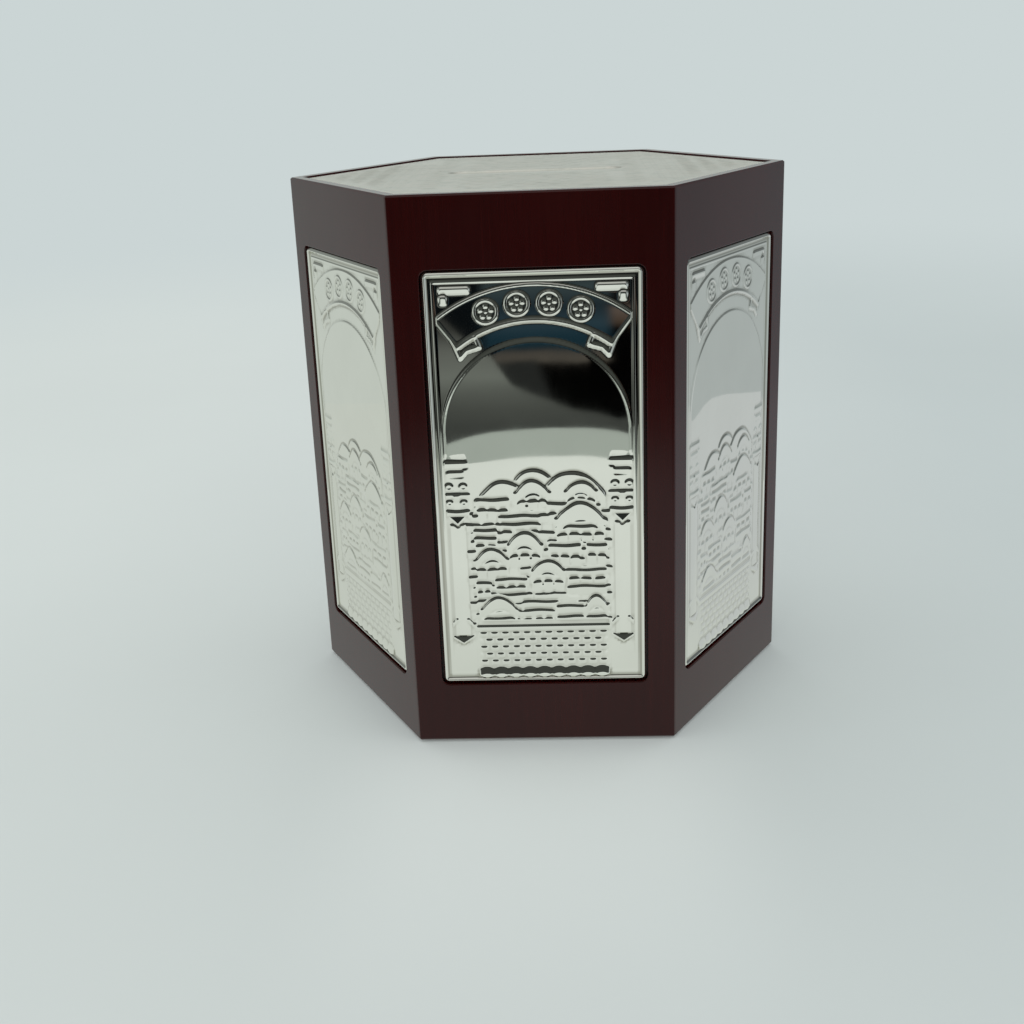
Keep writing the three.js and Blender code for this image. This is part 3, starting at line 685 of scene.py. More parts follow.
def press_columns(die, width, top):
    """Columns with abacus, scrolls, rosette, pointed neck, plain shaft and stepped base."""
    die = die.over(np.abs(die.x) - (width / 2 - COLUMN_IN))
    cap, neck, foot = top - CAPITAL_DOWN, top - 53.4, top - 83.6
    shaft = die.box(3.6, neck - foot - 4, 0, 0, (neck + foot + 4) / 2)
    die.lay(shaft, SHEET, 0.4)
    barrel = 0.22 * np.cos(np.clip(die.x / 1.8, -1, 1) * math.pi / 2)
    die.relief += barrel * eased(0.5 - shaft / 0.6)
    die.shingle(0, cap + 0.1, 5.0, 1.4, 0.22)
    die.shingle(0, cap - 2.0, 3.4, 1.2, 0.14)
    for way in (-1, 1):
        for low, size in ((5.4, 1.15), (8.9, 1.0)):
            scroll = die.disc(way * 1.5, cap - low, size)
            die.swell(scroll, 0.16, 0.8)
            die.swell(scroll + 0.5, -0.1, 0.4)
    die.shingle(0, cap - 6.9, 5.6, 1.0, 0.16)
    die.swell(die.disc(0, cap - 7.6, 0.9), 0.14, 0.7)
    die.shingle(0, cap - 10.8, 5.0, 1.3, 0.24, arch=-0.3)
    die.wedge(cap - 11.6, 3.4, 1.8, 0.1)
    die.wedge(foot + 4.6, 4.8, 1.6, 0.25)
    for way in (-1, 1):
        sweep = die.line((way * 2.3, foot + 7.0), (way * 1.2, foot + 8.2))
        die.swell(sweep - 0.6, 0.14, 0.6)


def press_house(die, house, half, town_foot, town_height):
    """One house: rows of walls and openings under a roof line, with a dome on some."""
    at, foot, wide, tall, dome, tier = house
    cx, base = at * half, town_foot + foot * town_height
    wide, tall = wide * half, tall * town_height
    roof = base + tall
    rows = max(2, round(tall / 2.0))
    pitch = tall / rows
    for row in range(rows):
        panes = 1 if (row + tier) % 3 == 0 or row == 0 else max(2, round(wide / 2.8))
        span = wide * (1 if row == 0 else 0.95) / panes
        share = 1 if panes == 1 else 0.8
        for pane in range(panes):
            pane_x = cx + (pane + 0.5 - panes / 2) * span
            die.shingle(pane_x, roof - row * pitch, span * share, pitch + 0.2, 0.22)
    if dome:
        high = 1.2 * dome * town_height
        die.shingle(cx, roof + high, wide * 0.9, high + 0.6, 0.25, high, 0.95)


def press_terraces(die, half, foot, height):
    """Rows of small walls on the slope behind the houses."""
    rows = round(height / 2.05)
    for row in range(rows, 0, -1):
        for cell in range(-4, 5):
            if (5 * row + 3 * cell) % 7 < 2:
                continue
            wide = 2.4 + 0.6 * ((row + cell) % 3)
            cx = (cell + 0.35 * (row % 3 - 1)) * 3.3
            if min(cx + wide / 2, half) - max(cx - wide / 2, -half) > 1.4:
                die.shingle(cx, foot + row * height / rows, wide, 1.9, 0.2)


def press_town_wall(die, half, foot, height):
    """The town wall in staggered courses, over a row of large foot stones."""
    x, y = die.x, die.y
    die.lay(die.box(2 * half, height, 0.1, 0, foot + height / 2), SHEET + 0.04, 0.6)
    die.lay(die.box(2 * half + 0.4, 1.4, 0, 0, foot + height + 1.0), SHEET, 0.4)
    die.shingle(0, foot + height + 0.4, 2 * half + 0.8, 1.3, 0.24, edge=0.95)
    base, courses, stones = foot + 2.6, 5, 12
    pitch, length = (height - 3.2) / courses, 2 * half / stones
    for course in range(courses):
        cy = base + (course + 0.5) * pitch
        shift = 0.5 * (course % 2)
        for stone in range(stones + course % 2):
            cx = -half + (stone + 0.5 - shift) * length
            low, high = max(cx - length / 2, -half), min(cx + length / 2, half)
            face = die.box(high - low - 0.3, pitch - 0.2, 0.55, (low + high) / 2, cy)
            die.swell(face, 0.165, 0.7)
    feet = 9
    pitch = 2 * half / feet
    for stone in range(feet):
        cx = (stone - (feet - 1) / 2) * pitch
        drop = 0.5 * ((x - cx) / (pitch / 2)) ** 2
        rise = 0.25 * np.clip(base - y - drop, 0, 1.9) * eased((y - foot + 0.5 - drop) / 0.5)
        here = (np.abs(x - cx) < pitch / 2) & (y < base)
        die.relief[here] = np.maximum(die.relief, SHEET + rise)[here]


def press_town(die, width, top):
    """Hills, tiers of domed houses and a coursed town wall between the columns."""
    half = width / 2 - COLUMN_IN - 2.7 - 0.5
    wall_foot, wall_height = 1.2 - top, 11.55
    foot = wall_foot + wall_height
    height = top - CAPITAL_DOWN - foot
    swayed = die.over(y=die.y + 0.1 * np.sin(0.9 * die.x + 0.7 * die.y))
    for at, up, wide, rise in HILLS:
        high = rise * height + 1.5
        swayed.shingle(at * half, foot + up * height, wide * half, high + 1.6, 0.25, high, 0.95)
    for side in (-1, 1):
        for stub in range(13):
            cx = side * (half - 0.4 - 0.3 * (stub % 2))
            up = (0.03 + 0.056 * stub) * height
            swayed.shingle(cx, foot + up, 2.4 - 0.5 * (stub % 3), 1.2, 0.2)
    press_terraces(swayed, half, foot, 0.74 * height)
    for house in HOUSES:
        press_house(swayed, house, half, foot, height)
    press_town_wall(die, half, wall_foot, wall_height)


def side_plate_relief(x, y, width, height, radius, bead_width, bead_rise):
    """Height of the stamped sheet over its back."""
    top = height / 2
    die = Die(x, y, np.full(x.shape, SHEET))
    inner = press_frame(die, width, height, radius, bead_width, bead_rise)
    field = die.relief.copy()
    for press in (press_arch, press_corners, press_banner, press_town, press_columns):
        press(die, width, top)
    inside = (inner > BORDER) | ((inner > 1.1) & (y < 4 - top) & (np.abs(x) < width / 2 - 7.9))
    return np.minimum(np.where(inside, die.relief, field), SHEET + bead_rise + 0.02)


# Grids that carry a relief


def graded_lines(*stretches):
    """Grid lines along a length, given as stretches from where to where at which spacing."""
    lines = [
        np.linspace(start, end, max(2, round((end - start) / spacing)) + 1)[:-1]
        for start, end, spacing in stretches
    ]
    return np.concatenate(lines + [[stretches[-1][1]]])


def add_grid(columns, rows):
    """A flat grid whose lines lie at the given places, in millimetres."""
    deselect()
    bpy.ops.mesh.primitive_grid_add(
        x_subdivisions=len(columns) - 1, y_subdivisions=len(rows) - 1, size=2
    )
    grid = bpy.context.object
    points = points_of(grid)
    for axis, lines in enumerate((columns, rows)):
        place = np.rint((points[:, axis] + 1) / 2 * (len(lines) - 1)).astype(int)
        points[:, axis] = lines[place] * MM
    set_points(grid, points)
    return grid


def round_corners(x, y, width, height, radius):
    """Moves the points of each corner square onto a quarter disc, so the outline is round."""
    cx, cy = width / 2 - radius, height / 2 - radius
    u = np.clip((np.abs(x) - cx) / radius, 0, 1)
    v = np.clip((np.abs(y) - cy) / radius, 0, 1)
    corner = (u > 0) & (v > 0)
    new_x = np.where(corner, np.sign(x) * (cx + radius * u * np.sqrt(1 - v * v / 2)), x)
    new_y = np.where(corner, np.sign(y) * (cy + radius * v * np.sqrt(1 - u * u / 2)), y)
    return new_x, new_y


def give_back(piece, depth, pierced=False):
    """Draws the outline of a one-sided sheet down by a depth and closes its back."""
    with editing(piece):
        bpy.ops.mesh.region_to_loop()
        bpy.ops.mesh.extrude_region_move(TRANSFORM_OT_translate={"value": (0, 0, -depth)})
        if pierced:
            face_round_hole(piece)
        else:
            bpy.ops.mesh.edge_face_add()
        bpy.ops.mesh.select_all(action="SELECT")
        bpy.ops.mesh.normals_make_consistent(inside=False)


def face_round_hole(piece):
    """Closes a selected outline round a hole with two faces, left and right of the hole."""
    sheet = bmesh.from_edit_mesh(piece.data)
    outline = [vertex for vertex in sheet.verts if vertex.select]
    outline.sort(key=lambda vertex: math.atan2(vertex.co.y, vertex.co.x))
    middle = max(vertex.co.length for vertex in outline) / 2
    rings = (
        [vertex for vertex in outline if vertex.co.length > middle],
        [vertex for vertex in outline if vertex.co.length < middle],
    )
    halves = []
    for ring in rings:
        middles = sorted(range(len(ring)), key=lambda i: abs(ring[i].co.x))
        back = next(i for i in middles if ring[i].co.y > 0)
        front = next(i for i in middles if ring[i].co.y < 0)
        halves.append((ring[front : back + 1], ring[back:] + ring[: front + 1]))
    for outer, inner in zip(*halves):
        sheet.faces.new(outer + inner[::-1])
    bmesh.update_edit_mesh(piece.data)


def mark_recesses(piece, x, y, relief):
    """Stores how far each point lies below the sheet just round it."""
    around, cell, shifts = np.zeros(len(relief)), 1.3, 4
    shallow, deep = 0.015, 0.09
    for shift in range(shifts):
        places = np.rint(np.column_stack([x, y]) / cell + shift / shifts).astype(int)
        index = (places[:, 0] - places[:, 0].min()) * 1000 + places[:, 1] - places[:, 1].min()
        around += (np.bincount(index, relief) / np.maximum(np.bincount(index), 1))[index] / shifts
    depth = np.clip((around - relief - shallow) / deep, 0, 1)
    layer = piece.data.attributes.new("recess", "FLOAT", "POINT")
    values = np.zeros(len(piece.data.vertices), np.float32)
    values[: len(depth)] = depth
    layer.data.foreach_set("value", values)


# What metal and lacquer mirror: tones from low to high, or from left to right

SURROUND = (
    (0.0, (0.60, 0.625, 0.60)),
    (0.5, (0.56, 0.60, 0.58)),
    (0.585, (0.52, 0.555, 0.535)),
    (0.66, (0.45, 0.48, 0.47)),
    (0.685, (0.43, 0.455, 0.445)),
    (0.74, (0.25, 0.265, 0.26)),
    (0.79, (0.195, 0.205, 0.205)),
    (0.84, (0.41, 0.42, 0.415)),
    (0.92, (0.58, 0.585, 0.58)),
    (1.0, (0.66, 0.66, 0.655)),
)
SURROUND_ACROSS = ((0.30, 0.965), (0.55, 0.97), (0.78, (0.70, 0.71, 0.765)))
SHELVES = (
    (0.0, 0.0006),
    (0.44, 0.0006),
    (0.458, (0.075, 0.066, 0.057)),
    (0.515, (0.060, 0.052, 0.046)),
    (0.545, (0.012, 0.018, 0.022)),
    (0.56, (0.006, 0.022, 0.034)),
    (0.62, (0.009, 0.026, 0.040)),
    (0.70, (0.022, 0.042, 0.058)),
    (0.80, (0.012, 0.020, 0.028)),
    (0.93, (0.036, 0.052, 0.058)),
    (1.0, (0.018, 0.022, 0.026)),
)
LEFT_OF_SHELVES = ((0.44, 0.0006), (0.6, (0.003, 0.004, 0.005)))
RIGHT_OF_SHELVES = (
    (0.66, 0.0006),
    (0.70, (0.056, 0.038, 0.028)),
    (0.78, (0.100, 0.076, 0.066)),
    (0.82, 0.004),
)
DIM_SIDE = (0.017, 0.018, 0.018)
GREY_RISE_HEIGHTS = (
    (0.0, 0.19),
    (0.125, 0.217),
    (0.19, 0.230),
    (0.25, 0.243),
    (0.335, 0.2505),
    (0.445, 0.2585),
    (0.51, 0.262),
    (0.725, 0.2665),
    (0.925, 0.2715),
)
GREY_RISE = (
    (0.05, (0.044, 0.047, 0.045)),
    (0.25, (0.064, 0.068, 0.064)),
    (0.40, (0.090, 0.096, 0.090)),
    (0.55, (0.140, 0.150, 0.140)),
    (0.80, (0.110, 0.115, 0.108)),
    (1.0, (0.035, 0.036, 0.034)),
)
UPPER_ROOM = (
    (0.0, (0.014, 0.016, 0.016)),
    (0.12, (0.046, 0.050, 0.046)),
    (0.60, (0.056, 0.060, 0.056)),
    (0.76, (0.080, 0.084, 0.080)),
    (0.86, (0.300, 0.300, 0.295)),
    (0.95, (0.430, 0.425, 0.420)),
)
TABLE_EDGE_TONE = (0.35, 0.385, 0.365)
TABLE_TONE = (0.67, 0.70, 0.685)
TABLE_BEHIND_LEFT = (0.56, 0.59, 0.565)
TABLE_BEHIND_RIGHT = (0.515, 0.537, 0.56)
# Painted shade across the floor, lighter to the left and darker to the right, and the painted glow of the
# floor under the box
FLOOR_PAINTED_SHADE_ACROSS = ((0.0, (1.06, 1.06, 1.055)), (0.5, 1), (1.0, (0.90, 0.925, 0.94)))
PAINTED_GLOW_UNDER_BOX = 0.8

# The camera, as fitted to the photographed corners of the case
CAMERA_PLACE = (0.00854, -0.31792, 0.14658)
CAMERA_FORWARD = (-0.0503, 0.9444, -0.3249)
CAMERA_RIGHT = (0.9985, 0.0403, -0.0375)


# Operators


class ALMSBOX_OT_stage(bpy.types.Operator):
    """Sets up the floor, the soft light and the camera"""

    bl_idname = "alms_box.stage"
    bl_label = "Stage and Camera"

    def execute(self, context):
        self.add_floor()
        self.add_reflected_table()
        self.add_world(context)
        self.add_lamp(context)
        self.add_camera(context)
        return {"FINISHED"}

    def add_floor(self):
        """A pale floor with a soft shadow, clear from below so that the base can be seen."""
        deselect()
        bpy.ops.mesh.primitive_plane_add(size=12, location=(0, 0, -HAIR))
        floor = bpy.context.object
        floor.name = "floor"
        floor.data.materials.append(self.floor_paint())
        floor.visible_glossy = False

    def floor_paint(self):
        """Pale, with painted shade: lighter to the left, darker and a little bluer to the right. A
        painted patch of reflected light lies just in front of the box, and the floor glows far off and,
        as painted light, under the box.
        """
        stage = settings("stage")
        paint = Paint("Floor")
        x, y = paint.axes(paint.place)[:2]
        width, depth = paint.maths("ABSOLUTE", x), paint.maths("ABSOLUTE", y)
        cloud = paint.noise(paint.place, 5)
        # Painted shade: the floor lighter to the left, darker and a little bluer to the right.
        fall = paint.ramp(paint.span(x, -0.16, 0.16), *FLOOR_PAINTED_SHADE_ACROSS)
        near = paint.times(paint.shades(cloud, tuple(stage.floor), (0.3, 0.985), (0.7, 1.015)), fall)
        # Painted reflected light: a brighter patch just in front of the box, where the front plate would
        # throw light onto the floor.
        close, middle = paint.step(y, -0.035, -0.06), paint.step(width, 0.055, 0.02)
        painted_glint = paint.product(close, middle, paint.step(y, -0.17, -0.05), 0.22)
        near = paint.mix(painted_glint, near, (0.95, 1.0, 0.97))
        reach = paint.add("ShaderNodeVectorMath", operation="LENGTH", Vector=paint.place)
        far = paint.step(reach.outputs["Value"], 0.35, 0.9)
        tone = paint.mix(far, near, tuple(stage.backdrop))
        lit = paint.mix(far, 0.8, 0.0)
        glow = paint.times(paint.mix(1.0, 1.0, lit, "SUBTRACT"), tone)
        slant = paint.product(depth, math.sin(SIXTH / 2))
        slant = paint.maths("MULTIPLY_ADD", width, math.cos(SIXTH / 2), slant)
        # Painted light: under the box's footprint the floor glows, to light the base from below.
        covered = paint.step(paint.maths("MAXIMUM", depth, slant), 0.0455, 0.0445)
        paint.surface(
            Base_Color=paint.times(lit, tone),
            Emission_Color=paint.mix(covered, glow, PAINTED_GLOW_UNDER_BOX),
            Emission_Strength=1.0,
            Roughness=1.0,
            Specular_IOR_Level=0.0,
        )
        below = paint.add("ShaderNodeNewGeometry").outputs["Backfacing"]
        clear = paint.add("ShaderNodeBsdfTransparent").outputs[0]
        seen_through = paint.add("ShaderNodeMixShader")
        for socket, value in zip(seen_through.inputs, (below, paint.shader.outputs[0], clear)):
            paint.put(socket, value)
        paint.put(paint.tree.nodes["Material Output"].inputs["Surface"], seen_through.outputs[0])
        return paint.material

    def add_reflected_table(self):
        """The white table as plates and lacquer reflect it, with a shaded edge."""
        stage = settings("stage")
        for name, reach, height, tone in (
            ("reflected_table_edge", stage.table_reach, HAIR, TABLE_EDGE_TONE),
            ("reflected_table", stage.table_reach - stage.table_edge, 2 * HAIR, TABLE_TONE),
        ):
            table = add_circle(192, reach, height)
            table.name = name
            points = points_of(table)
            turn = np.degrees(np.arctan2(points[:, 0], -points[:, 1]))
            narrower = 0.34 * np.where(np.abs(turn) < 90, np.sin(np.radians(2 * turn)) ** 2, 0)
            notch = 0.13 * np.cos(np.clip(np.abs(turn - 109) / 10, 0, 1) * math.pi / 2) ** 2
            points[:, :2] *= (1 - narrower - notch)[:, None]
            set_points(table, points)
            paint = Paint(name.replace("_", " ").capitalize())
            x, y = paint.axes(paint.place)[:2]
            behind = paint.mix(paint.step(x, 0.03, 0.14), TABLE_BEHIND_LEFT, TABLE_BEHIND_RIGHT)
            ahead = paint.shades(paint.noise(paint.place, 9, 3), tone, (0.3, 0.98), (0.7, 1.01))
            material = paint.surface(
                Base_Color=(0, 0, 0, 1),
                Emission_Color=paint.mix(paint.step(y, -0.04, -0.16), behind, ahead),
                Emission_Strength=1.0,
                Specular_IOR_Level=0.0,
            )
            table.data.materials.append(material)
            for ray in ("camera", "diffuse", "shadow", "transmission"):
                setattr(table, f"visible_{ray}", False)

    def add_world(self, context):
        """A pale world, with the dim front of the room where metal and lacquer reflect it."""
        world = bpy.data.worlds.new("Soft surround")
        context.scene.world = world
        world.use_nodes = True
        world.cycles.sampling_method = "NONE"
        sky = NodeBoard(world.node_tree)
        x, y, z = sky.axes(sky.add("ShaderNodeTexCoord").outputs["Generated"])
        surround = sky.times(
            sky.ramp(sky.maths("MULTIPLY_ADD", z, 0.5, 0.5), *SURROUND),
            sky.ramp(sky.maths("MULTIPLY_ADD", x, 0.5, 0.5), *SURROUND_ACROSS),
        )
        shade = sky.product(sky.step(z, -0.08, 0.06), sky.step(sky.maths("ABSOLUTE", x), 0.5, 0.75))
        surround = sky.mix(shade, surround, sky.times(surround, 0.4))
        ahead = sky.maths("MAXIMUM", sky.maths("MULTIPLY", y, -1.0), 0.05)
        across, upward = sky.maths("DIVIDE", x, ahead), sky.maths("DIVIDE", z, ahead)
        facing = sky.product(
            sky.step(y, -0.15, -0.4),
            sky.step(upward, 1.6, 1.0),
            sky.step(sky.maths("ABSOLUTE", across), 0.9, 0.5),
        )
        reflected = sky.mix(facing, surround, self.room(sky, across, upward))
        rays = sky.add("ShaderNodeLightPath").outputs
        mirrored = sky.product(rays["Is Glossy Ray"], sky.step(rays["Diffuse Depth"], 1.0, 0.0))
        seen = sky.mix(mirrored, 1.0, reflected)
        seen = sky.mix(rays["Is Camera Ray"], seen, tuple(settings("stage").backdrop))
        sky.put(sky.tree.nodes["Background"].inputs["Color"], seen)

    def room(self, sky, across, upward):
        """The dim front of the room: shelves, a grey rise before them, and what is over them."""
        level = sky.span(upward, -0.28, -0.16)
        left, right = sky.ramp(level, *LEFT_OF_SHELVES), sky.ramp(level, *RIGHT_OF_SHELVES)
        plain = sky.mix(sky.step(across, 0.016, 0.024), left, right)
        middle = sky.step(sky.maths("ABSOLUTE", sky.maths("ADD", across, 0.022)), 0.052, 0.042)
        room = sky.mix(middle, plain, sky.ramp(level, *SHELVES))
        dim = sky.product(
            sky.step(sky.maths("MULTIPLY_ADD", upward, 0.35, across), -0.104, -0.112),
            sky.step(upward, -0.222, -0.226),
        )
        room = sky.mix(dim, room, DIM_SIDE)
        height = sky.ramp(sky.span(across, -0.1, 0.1), *GREY_RISE_HEIGHTS)
        rise = sky.ramp(sky.span(upward, -0.28, -0.2), *GREY_RISE)
        room = sky.mix(sky.step(sky.maths("ADD", upward, height), 0.0012, -0.0012), room, rise)
        upper = sky.ramp(sky.span(upward, -0.16, 0.84), *UPPER_ROOM)
        return sky.mix(sky.step(upward, -0.163, -0.155), room, upper)

    def add_lamp(self, context):
        data = bpy.data.lights.new("overhead_softbox", "AREA")
        data.shape = "RECTANGLE"
        data.size, data.size_y = 0.9, 0.7
        data.energy = 0.9
        lamp = bpy.data.objects.new("overhead_softbox", data)
        lamp.location = (-0.35, 0.35, 1.1)
        lamp.rotation_euler = (-lamp.location).to_track_quat("-Z", "Y").to_euler()
        lamp.visible_glossy = False
        context.collection.objects.link(lamp)

    def add_camera(self, context):
        """Places the camera where the photographed corners of the case say that it stood."""
        data = bpy.data.cameras.new("camera")
        data.lens = settings("stage").lens
        data.sensor_width = 36
        data.clip_start = 0.01
        camera = bpy.data.objects.new("camera", data)
        forward, right = Vector(CAMERA_FORWARD).normalized(), Vector(CAMERA_RIGHT)
        right = (right - right.dot(forward) * forward).normalized()
        up = right.cross(forward)
        turn = Matrix((right, up, -forward)).transposed().to_4x4()
        camera.matrix_world = Matrix.Translation(CAMERA_PLACE) @ turn
        context.collection.objects.link(camera)
        context.scene.camera = camera
        context.scene.view_settings.view_transform = "Standard"


class ALMSBOX_OT_walls(bpy.types.Operator):
    """Makes the six mitred walls with sanded edges under one coat of lacquer"""

    bl_idname = "alms_box.walls"
    bl_label = "Mitred Walls"

    def execute(self, context):
        lacquer = lacquered_mahogany()
        for index, side in enumerate(SIDES):
            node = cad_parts[f"wall_{side}"]
            wall = node.copy()
            wall.data = node.data.copy()
            wall.parent = None
            context.collection.objects.link(wall)
            for key in [k for k in wall.keys() if k.startswith("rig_")]:
                del wall[key]
            with facing_front(wall, index):
                self.close_mitres(wall)
            self.merge(wall)
            with facing_front(wall, index):
                self.round_corners(wall)
            self.ease_edges(wall, index)
            smooth(wall, 24)
            apply_modifier(wall, "WEIGHTED_NORMAL", keep_sharp=True)
            finish_piece(
                wall, f"mitred_wall_{side}", lacquer, "case", [f"wall_{side}"]
            )
        return {"FINISHED"}

    def close_mitres(self, wall):
        """Lets the ends of a wall lie on the mitre itself, where the glue holds them."""
        points = points_of(wall)
        gap = np.abs(points[:, 0]) + points[:, 1] * math.tan(SIXTH / 2)
        at_end = np.abs(gap) < 0.0001
        points[at_end, 0] -= np.sign(points[at_end, 0]) * gap[at_end]
        set_points(wall, points)

    def merge(self, wall):
        """Turns the loose triangles of the frame into a plain mesh of flat faces."""
        with editing(wall):
            bpy.ops.mesh.remove_doubles(threshold=0.000004)
            bpy.ops.mesh.dissolve_limited(angle_limit=math.radians(0.5))

    def round_corners(self, wall):
        """Sands each upright corner round, half of its arc on this wall, half on the next."""
        radius, steps = settings("case").corner_round, 4
        reach = radius * math.tan(SIXTH / 2)
        half = APOTHEM * math.tan(SIXTH / 2)
        with editing(wall):
            for side in (-1, 1):
                for step in range(1, steps + 1):
                    place = side * (half - reach * step / steps)
                    bpy.ops.mesh.select_all(action="SELECT")
                    bpy.ops.mesh.bisect(plane_co=(place, 0, 0), plane_no=(side, 0, 0))
        points = points_of(wall)
        from_corner = half - np.abs(points[:, 0])
        outer = (np.abs(points[:, 1] + APOTHEM) < 0.00002) & (from_corner < reach)
        turn = SIXTH / 2 * (1 - np.clip(from_corner / reach, 0, 1))
        arc_x = half - reach + radius * np.sin(turn)
        arc_y = -(APOTHEM - radius + radius * np.cos(turn))
        points[:, 0] = np.where(outer, np.sign(points[:, 0]) * arc_x, points[:, 0])
        points[:, 1] = np.where(outer, arc_y, points[:, 1])
        set_points(wall, points)

    def ease_edges(self, wall, index):
        """Bevels the edges of the pocket and the outer edges at the top and the foot."""
        with editing(wall, "DESELECT"):
            bpy.ops.mesh.select_mode(type="EDGE")
        to_front = side_turn(-index).to_3x3()
        points = [to_front @ vertex.co for vertex in wall.data.vertices]
        around, close = 0.0015, 0.00001
        for edge in wall.data.edges:
            ends = [points[i] for i in edge.vertices]
            pocket = all(
                abs(p.y + APOTHEM) < close
                and PLATE_LOW.x - around < p.x < PLATE_HIGH.x + around
                and PLATE_LOW.z - around < p.z < PLATE_HIGH.z + around
                for p in ends
            )
            level = all(abs(p.y + APOTHEM) < 0.0002 for p in ends) and any(
                all(abs(p.z - z) < close for p in ends) for z in (CASE_LOW.z, CASE_HIGH.z)
            )
            edge.select = pocket or level
        with editing(wall, None):
            bpy.ops.mesh.bevel(offset=settings("case").edge_round, segments=2, affect="EDGES")


class ALMSBOX_OT_side_plates(bpy.types.Operator):
    """Stamps the six side plates: arch, banner, columns, town and town wall"""

    bl_idname = "alms_box.side_plates"
    bl_label = "Stamped Side Plates"

    def execute(self, context):
        plates = settings("plates")
        spacing = plates.spacing / MM * 1
        width = (PLATE_HIGH.x - PLATE_LOW.x) / MM
        height = (PLATE_HIGH.z - PLATE_LOW.z) / MM
        sheet = add_grid(self.columns(width / 2, spacing), self.rows(height / 2, spacing))
        points = points_of(sheet)
        x, y = round_corners(points[:, 0] / MM, points[:, 1] / MM, width, height, PLATE_CORNER)
        bead_width, bead_rise = plates.bead_width / MM, plates.bead_rise / MM
        relief = side_plate_relief(x, y, width, height, PLATE_CORNER, bead_width, bead_rise)
        set_points(sheet, np.column_stack([x, y, relief]) * MM)
        give_back(sheet, plates.sheet)
        mark_recesses(sheet, x, y, relief)
        smooth(sheet, 50)
        middle = (PLATE_LOW.z + PLATE_HIGH.z) / 2
        upright = Matrix.Rotation(math.pi / 2, 4, "X")
        sheet.data.transform(Matrix.Translation((0, PLATE_HIGH.y, middle)) @ upright)
        silver = polished_silver()
        for index, side in enumerate(SIDES):
            plate = sheet.copy()
            plate.data = sheet.data.copy()
            context.collection.objects.link(plate)
            plate.data.transform(side_turn(index))
            nodes = [f"silver_plate_{side}"]
            finish_piece(plate, f"stamped_plate_{side}", silver, "case", nodes)
        bpy.data.objects.remove(sheet)
        return {"FINISHED"}

    def columns(self, half, spacing):
        """Grid lines across the plate, closer together in the bead."""
        bead = half - BEAD_BORDER
        return graded_lines(
            (-half, -bead, 0.6 * spacing), (-bead, bead, spacing), (bead, half, 0.6 * spacing)
        )

    def rows(self, half, spacing):
        """Grid lines up the plate: fine in the town, wide apart in the plain sky."""
        bead, town, sky, banner = half - BEAD_BORDER, half - 39.5, half - 34, half - 14
        return graded_lines(
            (-half, -bead, 0.6 * spacing),
            (-bead, town, 0.82 * spacing),
            (town, sky, 2.8 * spacing),
            (sky, banner, 1.5 * spacing),
            (banner, bead, 0.9 * spacing),
            (bead, half, 0.6 * spacing),
        )


